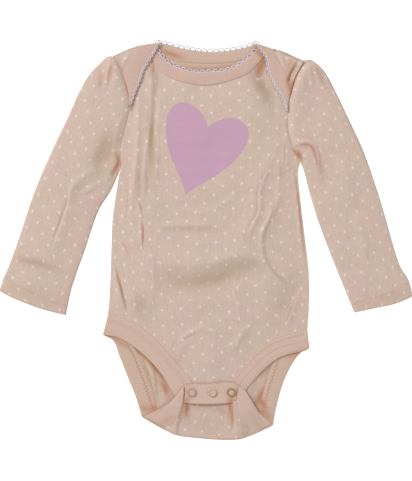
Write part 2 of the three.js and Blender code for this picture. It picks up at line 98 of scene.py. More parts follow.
area_light("key_light", (-2.3, 2.1, 2.0), 1.2, 96)
area_light("fill_light", (1.2, -0.6, 1.4), 1.6, 5)
world = bpy.data.worlds.new("studio")
world.use_nodes = True
sky = world.node_tree.nodes["Background"]
sky.inputs["Color"].default_value = SKY_COLOUR
sky.inputs["Strength"].default_value = SKY_STRENGTH
bpy.context.scene.world = world
print("lights:", len(bpy.data.lights))

# %% [markdown]
# ## Shader maths as arithmetic
#
# A pattern such as polka dots is a formula on the cloth's own coordinates. Linking Math nodes by hand
# hides the formula, so a small class wraps a socket and turns each operator into a node. Every node, in
# a material or in a Geometry Nodes tree, comes from one function, which sets the node's options first
# and then its sockets.


# %% A node with its sockets filled
def add_node(tree, kind, settings=None, **sockets):
    """A node whose sockets are named, or numbered as i0, i1, and given a value or a link."""
    made = tree.nodes.new(kind)
    for key, value in (settings or {}).items():
        setattr(made, key, value)
    for key, value in sockets.items():
        numbered = key[0] == "i" and key[1:].isdigit()
        place = made.inputs[int(key[1:])] if numbered else made.inputs[key.replace("_", " ")]
        value = value.socket if isinstance(value, Value) else value
        if isinstance(value, bpy.types.NodeSocket):
            tree.links.new(value, place)
        else:
            place.default_value = value
    return made


# %% A socket that can be reckoned with
class Value:
    """A number in a material's node tree."""

    def __init__(self, tree, socket):
        self.tree = tree
        self.socket = socket

    def math(self, operation, *operands):
        filled = {f"i{place}": operand for place, operand in enumerate(operands)}
        node = add_node(self.tree, "ShaderNodeMath", {"operation": operation}, **filled)
        return Value(self.tree, node.outputs[0])

    def __add__(self, other):
        return self.math("ADD", self, other)

    def __sub__(self, other):
        return self.math("SUBTRACT", self, other)

    def __mul__(self, other):
        return self.math("MULTIPLY", self, other)

    def __truediv__(self, other):
        return self.math("DIVIDE", self, other)

    def __pow__(self, other):
        return self.math("POWER", self, other)

    def __abs__(self):
        return self.math("ABSOLUTE", self)

    def offset_in_cell(self, pitch):
        """How far the value is from the nearest multiple of pitch, with its sign."""
        return (self.math("FRACT", self / pitch + 0.5) - 0.5) * pitch

    def sine(self):
        return self.math("SINE", self)

    def least(self, other):
        return self.math("MINIMUM", self, other)

    def step_down(self, high, low):
        """1 below low, 0 above high, smooth between."""
        ramp = add_node(self.tree, "ShaderNodeMapRange", {"interpolation_type": "SMOOTHSTEP"}, Value=self,
                        From_Min=low, From_Max=high, To_Min=1.0, To_Max=0.0)
        return Value(self.tree, ramp.outputs["Result"])


# %% A material under construction
GLOW = (1.0, 0.35, 0.15, 1)
GLOW_STRENGTH = 0.03


class Finish:
    """A material with a principled surface, and the few node helpers that the cloths share.

    Its faint warm glow stands in for light that comes through cloth.
    """

    def __init__(self, name, roughness=0.9):
        self.material = bpy.data.materials.new(name)
        self.material.use_nodes = True
        self.tree = self.material.node_tree
        self.surface = self.tree.nodes["Principled BSDF"]
        self.surface.inputs["Roughness"].default_value = roughness
        self.surface.inputs["Specular IOR Level"].default_value = 0.15
        self.surface.inputs["Emission Color"].default_value = GLOW
        self.surface.inputs["Emission Strength"].default_value = GLOW_STRENGTH

    def node(self, kind, settings=None, **sockets):
        return add_node(self.tree, kind, settings, **sockets)

    def cloth_mm(self):
        """The piece's own cloth coordinates in mm: across and up the cut."""
        uv = self.node("ShaderNodeUVMap", {"uv_map": "cloth"})
        parts = self.node("ShaderNodeSeparateXYZ", Vector=uv.outputs["UV"])
        return Value(self.tree, parts.outputs["X"]) * 1000, Value(self.tree, parts.outputs["Y"]) * 1000

    def streaks(self, x, y):
        """Noise drawn out along the wales."""
        long = self.node("ShaderNodeCombineXYZ", X=x * 0.7, Y=y * 0.07)
        made = self.node("ShaderNodeTexNoise", Vector=long.outputs["Vector"], Scale=1.0, Detail=2.0)
        return Value(self.tree, made.outputs["Fac"])

    def painted_shade(self):
        """The points' own painted shade: 0 on open cloth, up to 1 deep and warm, down to -1 dull."""
        made = self.node("ShaderNodeAttribute", {"attribute_name": "painted_shade"})
        return Value(self.tree, made.outputs["Fac"])

    def noise(self, scale, detail=2.0, roughness=0.5):
        """Noise from 0 to 1 on Object coordinates, scale in cells a metre."""
        place = self.node("ShaderNodeTexCoord")
        made = self.node("ShaderNodeTexNoise", Vector=place.outputs["Object"], Scale=scale,
                         Detail=detail, Roughness=roughness)
        return Value(self.tree, made.outputs["Fac"])

    def mix(self, factor, first, second):
        made = self.node("ShaderNodeMix", {"data_type": "RGBA"}, i0=factor, i6=first, i7=second)
        return made.outputs[2]

    def colour(self, socket):
        self.tree.links.new(socket, self.surface.inputs["Base Color"])

    def shaded_colour(self, socket):
        """Paints shade on the cloth's colour: duller where the points' shade is below 0, deeper above."""
        dulled = self.mix(self.painted_shade() * -1, socket, DULL_PAINTED_SHADE)
        self.colour(self.mix(self.painted_shade(), dulled, WARM_PAINTED_SHADE))

    def bump(self, height, strength, distance):
        made = self.node("ShaderNodeBump", Height=height, Strength=strength, Distance=distance)
        self.tree.links.new(made.outputs["Normal"], self.surface.inputs["Normal"])


def srgb(red, green, blue):
    """A colour as a screen shows it, in the linear numbers that shaders use."""
    linear = [((c / 255 + 0.055) / 1.055) ** 2.4 for c in (red, green, blue)]
    return (*linear, 1)


# %% [markdown]
# ## The cloths
#
# The jersey is peach with white dots, printed in columns that are set half a step down from each other.
# Its inside is the same peach with no dots. A fine knit shows only as grain, so it is bump; the slow
# change between a pinker and a more yellow peach is noise. The rib of the bindings has fine furrows
# across the strip, painted darker towards their depths as shade, with random tone; the neck's rib is a
# darker copy of it, painted shade. On the chest is a plain heart, which a formula can draw: a circle
# whose height is raised on both sides of its middle line. Each cloth turns to a warm painted shade where
# its points are marked as deep in a fold, and to a duller painted shade where they are marked as turned
# from the light.

# %% Dotted jersey
PEACH = srgb(206, 183, 174)
PEACH_WARM = srgb(203, 186, 170)
INSIDE_PEACH = srgb(202, 178, 161)
# Painted shade: the warm dark colour that cloth turns to deep in a fold or under an edge.
WARM_PAINTED_SHADE = srgb(174, 124, 94)
DOT = srgb(221, 210, 205)
# Painted shade: the dull colour that cloth turns to where it is turned from the light.
DULL_PAINTED_SHADE = srgb(163, 141, 115)
SLUB = srgb(186, 163, 148)
HEART_PINK = srgb(192, 155, 180)
DOT_ACROSS = 19.4
DOT_UP = 16.1
DOT_RADIUS = 1.45
DOT_EDGE = 0.35
DOT_WOBBLE = 0.9
HEART_PLACE = (-9.6, 77.9)
HEART_HALF_WIDTH = 42.0
HEART_HEIGHT = 35.6
HEART_POWER = 2 / 3
HEART_LEAN = math.radians(-18)
HEART_EDGE = 0.012
WALE_PITCH = 1.1


def dots_on(finish, x, y):
    """1 on a dot and 0 between dots."""
    wobble = (finish.noise(900) - 0.5) * DOT_WOBBLE
    x = x + wobble
    y = y + wobble
    even = x.offset_in_cell(DOT_ACROSS) ** 2 + y.offset_in_cell(DOT_UP) ** 2
    odd_x = x + DOT_ACROSS / 2
    odd_y = y + DOT_UP / 2
    odd = odd_x.offset_in_cell(DOT_ACROSS) ** 2 + odd_y.offset_in_cell(DOT_UP) ** 2
    distance = even.least(odd) ** 0.5
    return distance.step_down(DOT_RADIUS + DOT_EDGE, DOT_RADIUS - DOT_EDGE)


def heart_on(finish):
    """1 on the heart and 0 off it, on Object coordinates, which are the lay's own plan."""
    place = finish.node("ShaderNodeTexCoord")
    parts = finish.node("ShaderNodeSeparateXYZ", Vector=place.outputs["Object"])
    x = Value(finish.tree, parts.outputs["X"]) * 1000 - HEART_PLACE[0]
    y = Value(finish.tree, parts.outputs["Y"]) * 1000 - HEART_PLACE[1]
    turn_x = x * math.cos(HEART_LEAN) + y * math.sin(HEART_LEAN)
    turn_y = y * math.cos(HEART_LEAN) - x * math.sin(HEART_LEAN)
    side = abs(turn_x / HEART_HALF_WIDTH)
    up = turn_y / HEART_HEIGHT - side ** HEART_POWER
    return (side ** 2 + up ** 2).step_down(1 + HEART_EDGE, 1 - HEART_EDGE)


def jersey(name, dotted=True, heart=False):
    finish = Finish(name)
    x, y = finish.cloth_mm()
    shade = (finish.noise(24, 3.0) - 0.5) * 2.5 + 0.5
    colour = finish.mix(shade, PEACH if dotted else INSIDE_PEACH, PEACH_WARM)
    if dotted:
        colour = finish.mix(dots_on(finish, x, y) * 0.92, colour, DOT)
    colour = finish.mix((finish.noise(620, 2.0) - 0.46) * 1.5, colour, SLUB)
    colour = finish.mix((finish.streaks(x, y) - 0.47) * 1.5, colour, SLUB)
    if heart:
        colour = finish.mix(heart_on(finish) * 0.95, colour, HEART_PINK)
    finish.shaded_colour(colour)
    wales = (x * (2 * math.pi / WALE_PITCH)).sine() * 0.5
    finish.bump(wales + finish.noise(900, 3.0) * 1.2, 0.4, 0.0003)
    return finish.material


jersey_outside = jersey("jersey_outside")
jersey_front = jersey("jersey_front", heart=True)
jersey_inside = jersey("jersey_inside", dotted=False)
print("jersey dots every", DOT_ACROSS, "by", DOT_UP, "mm, two to a cell")

# %% Rib, thread and snaps
RIB_PEACH = srgb(211, 186, 172)
# The neck's rib is the same rib painted darker: painted shade at the neck.
NECK_SHADED_PEACH = srgb(206, 179, 166)
RIB_PITCH = 1.9


def rib(name, colour):
    finish = Finish(name)
    x, _ = finish.cloth_mm()
    ridges = (x * (2 * math.pi / RIB_PITCH)).sine() * 0.5 + 0.5
    # The rib is painted darker towards its furrows, as shade that falls there, mixed with random tone.
    darker = (*[c * 0.8 for c in colour[:3]], 1)
    finish.shaded_colour(finish.mix(ridges * 0.5 + finish.noise(620, 2.0) * 0.5, darker, colour))
    finish.bump(ridges + finish.noise(900, 2.0) * 0.9, 0.4, 0.0003)
    return finish.material


def plain(name, colour, roughness, grain=0.0, coat=0.0):
    finish = Finish(name, roughness)
    darker = (*[c * 0.82 for c in colour[:3]], 1)
    finish.colour(finish.mix(finish.noise(400, 3.0), darker, colour))
    finish.surface.inputs["Coat Weight"].default_value = coat
    if grain:
        finish.bump(finish.noise(2500, 2.0), grain, 0.0002)
    return finish.material


rib_outside = rib("rib_outside", RIB_PEACH)
rib_neck_shaded = rib("rib_neck_shaded", NECK_SHADED_PEACH)
rib_inside = rib("rib_inside", srgb(208, 182, 166))
thread_peach = plain("thread_peach", srgb(200, 156, 132), 0.8, 0.4)
thread_white = plain("thread_white", srgb(216, 207, 213), 0.8, 0.4)
# One enamel for all three snaps, painted in three beiges for the light and shade that fall on each.
SNAP_LIT_AND_SHADED_BEIGES = {"left": (186, 164, 140), "middle": (202, 180, 158), "right": (162, 136, 108)}
enamel = {side: plain(f"snap_enamel_{side}", srgb(*beige), 0.45, coat=0.15)
          for side, beige in SNAP_LIT_AND_SHADED_BEIGES.items()}
snap_middle = plain("snap_middle", srgb(208, 182, 160), 0.7, 0.2)
print("materials:", len(bpy.data.materials))

# %% [markdown]
# ## From tables to points
#
# An outline is a short table of points, across from the left and down from the top of the lay, in mm. A
# smooth line through them is cut into equal steps. A sheet is a patch of rows between two such lines,
# whose first and last rows may bend to lines of their own.

# %% Lines
ORIGIN = np.array([206.0, 240.5])


def place(rows):
    return (np.array(rows, float) - ORIGIN) * (1, -1)


def spaced(points, steps):
    """The same line in equal steps."""
    points = np.asarray(points, float)
    walked = np.r_[0, np.cumsum(np.linalg.norm(np.diff(points, axis=0), axis=1))]
    at = np.linspace(0, walked[-1], steps + 1)
    return np.stack([np.interp(at, walked, points[:, k]) for k in range(points.shape[1])], 1)


def along(rows, steps):
    """A smooth line through a table's points, in equal steps."""
    p = place(rows)
    ends = np.vstack([2 * p[0] - p[1], p, 2 * p[-1] - p[-2]])
    fine = []
    for a, b, c, d in zip(ends, ends[1:], ends[2:], ends[3:]):
        spans = ((a, b), (b, c), (c, d))
        knots = np.cumsum([0] + [math.sqrt(np.linalg.norm(q - r)) for q, r in spans])
        t = np.linspace(knots[1], knots[2], 30, endpoint=False)[:, None]

        def blend(p0, p1, t0, t1):
            return (t1 - t) / (t1 - t0) * p0 + (t - t0) / (t1 - t0) * p1

        ab, bc, cd = (blend(q, r, knots[i], knots[i + 1]) for i, (q, r) in enumerate(spans))
        abc = blend(ab, bc, knots[0], knots[2])
        bcd = blend(bc, cd, knots[1], knots[3])
        fine.append(blend(abc, bcd, knots[1], knots[2]))
    return spaced(np.vstack([*fine, p[-1:]]), steps)


def end_to_end(*lines):
    return np.vstack([lines[0], *[line[1:] for line in lines[1:]]])


def sideways(points):
    """Unit vectors square to a line, to its left."""
    run = np.gradient(points, axis=0)
    side = np.stack([-run[:, 1], run[:, 0]], 1)
    return side / np.linalg.norm(side, axis=1, keepdims=True)


def shifted(points, distance):
    return points + sideways(points) * distance


# %% Patches and folds
def patch(left, right, across, first=None, last=None, reach=3):
    """Rows of points between two lines, (rows, points, 2).

    The first and last rows may follow lines of their own; a higher reach keeps that nearer to the end.
    """
    u = np.linspace(0, 1, across + 1)[None, :, None]
    v = np.linspace(0, 1, len(left))[:, None, None]
    rows = left[:, None] * (1 - u) + right[:, None] * u
    if first is not None:
        rows = rows + (first[None] - rows[:1]) * (1 - v) ** reach
    if last is not None:
        rows = rows + (last[None] - rows[-1:]) * v ** reach
    return rows


def lift(rows, height):
    """Adds the height of each point: a number, or a function of the plan points."""
    z = height(rows) if callable(height) else np.full(rows.shape[:2], float(height))
    return np.concatenate([rows, z[..., None]], 2)


def folded_over(below, above, wall, turns=8):
    """Joins two lifted patches at the fold line they share, with half a circle of rows."""
    line = below[-1, :, :2]
    out = sideways(line)
    out = out * np.sign(np.sum(out * (line - below[-2, :, :2]), 1, keepdims=True))
    low, high = below[-1, :, 2], above[0, :, 2]
    radius = np.abs(high - low)[:, None] / 2
    inner = line - out * (radius + wall / 2)
    below[-1, :, :2] = inner
    above[0, :, :2] = inner
    arcs = []
    for angle in np.linspace(0, math.pi, turns + 1)[1:-1]:
        plan = inner + out * radius * math.sin(angle)
        z = (low + high) / 2 - (high - low) / 2 * math.cos(angle)
        arcs.append(np.concatenate([plan, z[:, None]], 1))
    return np.concatenate([below, np.array(arcs), above])


def nearest(plan, line):
    """Signed distance to a line of points (positive to its left), and how far along it, 0 to 1."""
    best = np.full(plan.shape[:-1], np.inf)
    side = np.zeros_like(best)
    where = np.zeros_like(best)
    for i, (a, b) in enumerate(zip(line, line[1:])):
        run = b - a
        t = np.clip(((plan - a) @ run) / (run @ run), 0, 1)
        away = plan - a - t[..., None] * run
        distance = np.linalg.norm(away, axis=-1)
        closer = distance < best
        best = np.where(closer, distance, best)
        side = np.where(closer, np.sign(run[0] * away[..., 1] - run[1] * away[..., 0]), side)
        where = np.where(closer, (i + t) / (len(line) - 1), where)
    return best * np.where(side == 0, 1, side), where


def smoothstep(x, low, high):
    t = np.clip((x - low) / (high - low), 0, 1)
    return t * t * (3 - 2 * t)


# %% [markdown]
# ## Outlines
#
# These are the seams and edges that a maker would mark, left and right as seen from above. Two pieces
# that are sewn together share the same line; beside a binding the panel reaches 1 mm under it.

# %% Tables of the body
ARMHOLE_LEFT = [(121.4, 166), (120, 155), (121.6, 140), (124, 130), (128.2, 115), (129.9, 104),
                (128.7, 92.6), (123.9, 77.3), (119.1, 65.8), (113.6, 55.6)]
ARMHOLE_RIGHT = [(300.5, 161), (297.2, 153.5), (292.6, 146.3), (289.4, 138), (287.6, 128), (287.3, 115),
                 (288, 103), (291.6, 88), (295, 77.3), (304, 60.8)]
SIDE_LEFT = [(108, 313.6), (109.4, 300), (110.7, 275), (111.4, 250), (112.6, 220), (115.2, 200),
             (118.8, 178), (121.4, 166)]
SIDE_RIGHT = [(307.3, 329.4), (308.9, 305), (308.8, 275), (305.6, 245), (302.3, 218), (299.2, 190),
              (298, 172), (300.5, 161)]
SHOULDER_LEFT = [(113.6, 55.6), (119, 53.2), (128.7, 48.9), (139.7, 45.3)]
SHOULDER_RIGHT = [(304, 60.8), (295.5, 57.2), (289.2, 54), (280.6, 50.6), (273, 48.8)]
LAP_SEAM_LEFT = [(139.7, 45.3), (133.5, 58.2), (128.2, 66.8), (124.3, 76.6)]
LAP_SEAM_RIGHT = [(273, 48.8), (279, 62), (286, 76), (291, 87.5)]
LAP_EDGE_LEFT = [(157.4, 42.8), (153.5, 51), (147.8, 60.6), (142.1, 69.7), (138.8, 79.7),
                 (133, 94), (129.9, 103)]
LAP_EDGE_RIGHT = [(256.5, 43.4), (261, 48.5), (267.5, 58.5), (269.5, 70), (275.8, 85.5),
                  (283, 97.4), (287.6, 110)]
FRONT_NECK_SEAM = [(147.5, 50.5), (154, 61), (163.7, 73.8), (180.2, 81.4), (207, 85.5),
                   (233.5, 79.5), (247.8, 73.3), (258.4, 62.8), (265.5, 55)]
FRONT_NECK_EDGE = [(154.5, 46.5), (159, 53.3), (168.6, 63.6), (189, 71.6), (207, 72.6),
                   (228, 70.2), (243.5, 62), (253.5, 52.8), (258.5, 47.5)]
BACK_NECK_SEAM = [(139.7, 45.3), (156, 54.5), (173.5, 60), (190, 62.3), (210, 63.2),
                  (232, 61.8), (248, 57.8), (262, 54), (273, 48.8)]
BACK_NECK_EDGE = [(157.4, 42.8), (168.6, 44.6), (180, 48), (193.6, 50.4), (210, 51.9),
                  (226.8, 51), (238.3, 49.1), (250, 46.2), (256.5, 43.4)]

# %% Tables of the legs and the tab
LEG_LEFT = {
    "front_seam": [(197, 404), (191.7, 382), (176, 362.5), (160, 344.4), (143.6, 329.2), (125.7, 319.2),
                   (108, 313.6)],
    "front_edge": [(183, 404), (174.5, 395), (160, 371.6), (138.2, 349.7), (127.9, 342.6), (116.8, 337.2),
                   (102.6, 334.6)],
    "back_seam": [(108, 313.6), (119, 326), (134.6, 348.8), (142.2, 365.8), (151.5, 390.6),
                  (156.8, 408.8), (163, 429.3)],
    "back_edge": [(102.6, 334.6), (113.6, 341), (119.6, 356.4), (128.2, 378), (136.2, 398), (142, 417.3)],
    "tab_seam": [(163, 429.3), (175.9, 420.2), (180.3, 410), (182.6, 401.5), (183.8, 392)],
    "tab_edge": [(142, 417.3), (157.8, 409.2), (166.4, 404.9), (175, 397.3), (183.8, 386)],
}
LEG_RIGHT = {
    "front_seam": [(228, 404), (231.7, 381), (245, 364), (256, 351.6), (275.6, 339.2), (295.2, 333.2),
                   (307.3, 329.4)],
    "front_edge": [(241, 404), (245.6, 390.6), (264, 368.9), (279.4, 357.4), (295.2, 352.4), (303.4, 351.2),
                   (309.4, 348.4)],
    "back_seam": [(307.3, 329.4), (292, 342), (277, 353), (269.4, 373.6), (264, 391), (259.4, 408.3),
                  (253, 435)],
    "back_edge": [(309.4, 348.4), (300.4, 353), (292.4, 363.6), (283.4, 382), (275.8, 409), (273, 425.6)],
    "tab_seam": [(253, 435), (243.2, 422.6), (238.6, 412), (237, 401.5), (237.8, 393)],
    "tab_edge": [(273, 425.6), (258, 410.7), (249, 396.5), (244.6, 390), (239.2, 386)],
}
BOTTOM_FOLD = [(163, 429.3), (176.9, 435.4), (200, 438.4), (222, 440), (233.6, 440), (241.7, 439),
               (253, 435)]
TAB_TOP = [(182.6, 401.5), (200, 402), (218, 401.4), (237, 401.5)]
PLACKET_TOP = [(182.6, 386.5), (185.4, 384.6), (191, 383.2), (209.7, 383), (218.3, 381.3), (230, 381.6),
               (236, 383.2), (239.6, 385.6)]
PLACKET_BOTTOM = [(181.4, 403.5), (186, 402.6), (192, 403.4), (208.7, 403.8), (224, 403), (235, 402.2),
                  (238.8, 402.6)]

# %% Tables of the sleeves
SLEEVE_LEFT = {
    "outer": [(-0.8, 290.4), (2.4, 280), (8.2, 267), (18.2, 240), (35, 190), (52, 150), (68, 116), (78.6, 92),
              (89, 74), (100, 62.6), (106, 57.2), (113.6, 55.6)],
    "inner": [(65.7, 315), (71.4, 288.5), (84.6, 250), (98.6, 210), (111, 190), (118.4, 173), (121.4, 166)],
    "cuff": [(-0.8, 290.4), (8.7, 295.8), (24.5, 302.4), (43.4, 309.2), (65.7, 315)],
}
SLEEVE_RIGHT = {
    "outer": [(412.8, 295.9), (408.6, 280.3), (400.6, 267), (396.2, 255.3), (379.6, 198), (363, 150),
              (347.4, 116), (336, 92), (326.4, 73.8), (319.4, 65.6), (311, 60), (304, 60.8)],
    "inner": [(354.2, 312.5), (346.5, 293.6), (331.7, 256.8), (318, 220), (309, 190), (304.5, 172),
              (300.5, 161)],
    "cuff": [(412.8, 295.9), (403.4, 300.4), (393.2, 304.1), (377.9, 307.3), (354.2, 312.5)],
}

# %% [markdown]
# ## Heights and creases
#
# Layers are a cloth's thickness apart: back, front, laps, tab, placket. The front also swells a little
# inside its edges. Creases are listed one by one, because where they fall is what makes this lay this one.
# Each is a crest along a short line, with its own rise and a width to either side: a narrow side is the
# steep one. Troughs are drawn the same way. Where cloth lies lower than its surroundings less light
# reaches it, and the light that does has bounced off peach cloth, so each point also carries how deep
# in a hollow it is, and that depth is painted on as warm shade. Marks of painted shade are listed too,
# for shading that so low a lay doesn't cast: above 0 a mark is deep and warm, and below 0 it is dull.
# Marks of shade are placed by hand too, for shading that so low a lay doesn't cast: above 0 a mark is deep
# and warm, and below 0 it is dull. A slow unevenness does the rest.

# %% Layers
# All in mm. A height is that of the middle of a sheet's thickness.
WALL = 0.8
RIB_WALL = 1.1
BACK_Z = 0.5
BACK_RIB_Z = 0.6
FRONT_Z = 1.8
FRONT_RIB_Z = 2.1
LAP_RISE = 1.25
SLEEVE_TOP_Z = 2.1
TAB_FOLD_Z = 2.4
TAB_Z = 3.5
PLACKET_Z = 3.75
PLACKET_LIP = 0.5
PUFF = 1.4
PUFF_REACH = 45
TUCK = -1.0

# %% Creases of the upper layer
# Columns: rise, width to the left of the line and to its right, and the line.
CREASES = [
    (1.5, 3.2, 2.6, [(141, 88), (138, 112), (137.6, 135), (136.6, 160), (134, 182), (131.6, 204),
                     (132, 220)]),
    (1.5, 3, 2.2, [(151.7, 68), (151.4, 90), (151, 116), (149, 138), (146, 156), (143, 176)]),
    (0.7, 2, 4, [(160, 76), (159.8, 104), (158, 130), (157, 170), (153, 200)]),
    (1.0, 4, 1.4, [(139.6, 216), (140.6, 228), (141, 248)]),
    (0.9, 1.6, 4, [(137, 196), (141.6, 207), (144, 220)]),
    (1.4, 1.6, 5, [(112.5, 262), (118, 283), (124.6, 312)]),
    (0.6, 2, 3, [(121, 238), (126, 250), (132, 260)]),
    (0.8, 5, 1.6, [(155, 236), (155.4, 262), (153.6, 288), (146, 318)]),
    (1.3, 2.4, 8, [(276, 150), (264.6, 177), (260.6, 190), (260, 211), (249.6, 233), (250.5, 252)]),
    (1.6, 5.5, 2.4, [(281, 166), (279.2, 176), (278, 195), (270, 217), (261.6, 234), (262.6, 255), (271, 270),
                     (290, 286)]),
    (1.0, 3, 1.8, [(285.6, 132), (286.4, 163), (280, 176)]),
    (0.8, 3, 1.8, [(273, 250), (284, 270), (293, 292)]),
    (0.8, 1.6, 3, [(297, 172), (299.5, 219), (304, 258)]),
    (1.3, 3.5, 1.4, [(298, 294), (292, 308), (286, 325)]),
    (0.6, 4, 1.6, [(233, 282), (236, 300), (241, 325)]),
    (2.1, 12, 6, [(152, 264), (185, 265), (212, 263), (236, 256), (264, 259)]),
    (0.5, 4, 2.5, [(158, 227), (186, 225.5), (222, 226.5)]),
    (0.8, 5, 2.2, [(209, 324), (186, 336), (179, 347), (177.5, 364)]),
    (0.8, 3, 4, [(252, 322), (240, 338), (232, 352)]),
    (0.5, 1.4, 3, [(124, 182), (125.5, 206), (124, 226)]),
    (0.5, 2, 3, [(203, 212), (222, 205), (240, 190)]),
    (0.6, 2, 3, [(163, 330), (170, 341), (172, 352)]),
    (0.6, 3, 2, [(214, 300), (226, 314), (246, 324)]),
    (0.5, 2, 3, [(131, 286), (136, 302), (134, 316)]),
    (0.6, 3, 2, [(222, 88), (236, 96), (252, 118)]),
    (0.5, 2, 2, [(178, 208), (196, 213), (214, 212)]),
    (1.2, 8, 2.2, [(100, 166), (86, 174), (71.6, 189), (69.6, 203), (64.6, 219), (54, 248)]),
    (0.9, 2, 4, [(99, 186), (90, 190), (80, 196)]),
    (0.9, 4, 4, [(12, 256), (34, 259), (58, 266)]),
    (2.0, 2.2, 3.4, [(296, 145), (304, 142), (311, 143.4), (316.4, 152), (319.4, 170)]),
    (0.9, 4, 4, [(352, 210), (362, 240), (366, 270)]),
    (0.7, 4, 6, [(338, 150), (350, 190), (356, 220)]),
]
GATHERS = [
    (1.1, 1.8, 2.4, [(112.6, 59), (109.5, 70), (107.5, 84)]),
    (0.8, 2, 2.4, [(106, 60), (102.5, 71), (99, 84)]),
    (0.6, 2, 2, [(118, 68), (115.5, 78), (114, 92)]),
    (0.6, 2, 2.4, [(100, 66), (95, 76), (91, 88)]),
    (0.9, 2, 2, [(306.5, 61), (310, 74), (312, 88)]),
    (0.7, 2, 2.4, [(299, 72), (303, 82), (306, 96)]),
    (0.7, 2, 2.4, [(313, 63), (318, 74), (321, 86)]),
    (0.6, 2.4, 2.4, [(319, 68), (324, 78), (328, 90)]),
]
# Columns: depth, half width, and the line.
TROUGHS = [
    (0.8, 5, [(157, 58), (158, 76), (155, 100), (154, 140), (150, 176)]),
    (0.8, 1.2, [(137.6, 199), (141, 208), (143.4, 218)]),
    (1.0, 1.2, [(142, 221), (143.2, 232), (142.8, 247)]),
    (0.9, 1.3, [(114.8, 266), (120.4, 286), (127, 312)]),
    (0.6, 1.2, [(69, 189), (66.6, 203), (61.6, 218), (52, 245)]),
    (0.9, 1.7, [(276, 196), (273, 214), (265, 236), (266, 254)]),
    (0.6, 1.4, [(272, 156), (261.6, 180), (257, 192), (256.6, 211), (246, 233), (246.4, 250)]),
    (1.1, 8, [(160, 280), (190, 282), (215, 279), (240, 270), (262, 272)]),
    (0.35, 3.0, [(160, 230.5), (186, 229), (214, 229.5)]),
    (0.9, 1.2, [(296.6, 297), (290, 312), (285.6, 325)]),
    (1.3, 8, [(258, 60), (264, 84), (270, 108)]),
    (0.6, 1.3, [(200, 332), (184, 340), (177.4, 350), (176, 364)]),
]
# Marks of painted shade: strength, half width, and the line.
SHADES = [
    (0.9, 2.4, [(111, 150), (116, 156), (120, 166)]),
    (0.5, 1.0, [(137.8, 199), (141, 208), (143, 217)]),
    (0.7, 0.9, [(142.4, 223), (143.2, 232), (142.8, 246)]),
    (0.5, 0.9, [(114.6, 268), (120, 285), (126.4, 309)]),
    (0.3, 0.9, [(122, 242), (126, 250), (130, 256)]),
    (0.35, 0.9, [(154, 246), (155, 270), (153, 288), (147, 306)]),
    (0.12, 1.0, [(271.6, 156), (262, 180), (257.4, 192), (256.8, 211), (246.6, 233), (247, 249)]),
    (0.45, 1.2, [(284.6, 140), (285, 156), (283.4, 170)]),
    (0.5, 1.6, [(277, 205), (274.6, 214), (272, 222)]),
    (0.5, 1.2, [(265, 240), (264.6, 250), (267, 260)]),
    (0.9, 0.9, [(293.6, 166), (295.8, 182), (298.8, 206), (302.8, 240), (304.6, 256)]),
    (0.7, 1.0, [(286.6, 118), (287.6, 128), (291, 141), (294, 148)]),
    (1.0, 2.0, [(292, 149), (296.6, 153), (299.4, 160)]),
    (0.35, 2.5, [(139, 84), (133, 98), (130.5, 112)]),
    (0.3, 1.0, [(127.6, 114), (124, 132), (119.6, 146)]),
    (0.30, 3, [(190, 388), (210, 386), (230, 388)]),
    (-0.55, 8, [(160, 281), (190, 282), (215, 279), (232, 272), (246, 267), (262, 270)]),
    (-0.35, 5, [(204, 277), (222, 272), (240, 266)]),
    (-0.3, 7, [(136, 292), (142, 306), (140, 322)]),
    (-0.3, 9, [(292, 280), (284, 300), (276, 318)]),
    (-0.6, 4.2, [(150, 100), (150, 124), (152, 150), (151, 184)]),
    (-0.5, 2.2, [(139.6, 162), (139, 182), (138.6, 200)]),
    (-0.55, 2.6, [(147, 166), (147, 182), (146, 196)]),
    (-0.4, 4.0, [(155, 66), (156, 82), (154, 100)]),
    (1.0, 5, [(257, 50), (263, 60), (259, 70), (256, 82)]),
    (-0.6, 6.5, [(246, 68), (256, 80), (266, 92), (271, 112)]),
    (0.7, 2.5, [(152, 58), (153, 66), (152, 78)]),
    (-0.3, 3, [(160, 230), (186, 229), (216, 230)]),
    (-0.35, 2.2, [(275, 200), (272.6, 214), (266, 236), (265.6, 252)]),
    (0.5, 0.9, [(295, 298), (290.6, 311), (285, 323)]),
    (-0.5, 1.6, [(262.6, 236), (264.4, 254), (273, 271), (291, 286)]),
    (-0.4, 2.0, [(281, 160), (281, 170), (279.4, 180)]),
    (-0.25, 5, [(180, 352), (176, 362), (180, 374)]),
]


def drawn(plan, rows):
    """Distance to a table's line, and how strong its stroke is there, fading towards both ends."""
    distance, where = nearest(plan, along(rows, 24))
    return distance, np.sin(math.pi * np.clip(where, 0.04, 0.96)) ** 0.6


def soft_stroke(plan, strength, width, rows):
    """A stroke along a table's line that fades to both sides."""
    distance, stroke = drawn(plan, rows)
    return strength * stroke * np.exp(-((distance / width) ** 2))


def crests(plan, creases):
    """Height that a table of creases adds at each plan point; where two meet, the higher one stands."""
    up = np.zeros(plan.shape[:-1])
    for rise, left, right, rows in creases:
        distance, stroke = drawn(plan, rows)
        width = np.where(distance > 0, left, right)
        up = np.maximum(up, rise * stroke * np.exp(-np.abs(distance / width) ** 1.5))
    return up


def crease_rise(plan):
    """Height that creases, gathers and troughs add at each plan point."""
    up = crests(plan, CREASES + GATHERS)
    for trough in TROUGHS:
        up = up - soft_stroke(plan, *trough)
    return up


def shade_marks(plan, marks=SHADES):
    """Marks of painted shade, above 0 warm and below 0 dull; where they meet the stronger one stands."""
    warm = np.zeros(plan.shape[:-1])
    dull = np.zeros(plan.shape[:-1])
    for strength, width, rows in marks:
        mark = soft_stroke(plan, abs(strength), width, rows)
        if strength > 0:
            warm = np.maximum(warm, mark)
        else:
            dull = np.maximum(dull, mark)
    return np.where(warm >= dull, warm, -dull)


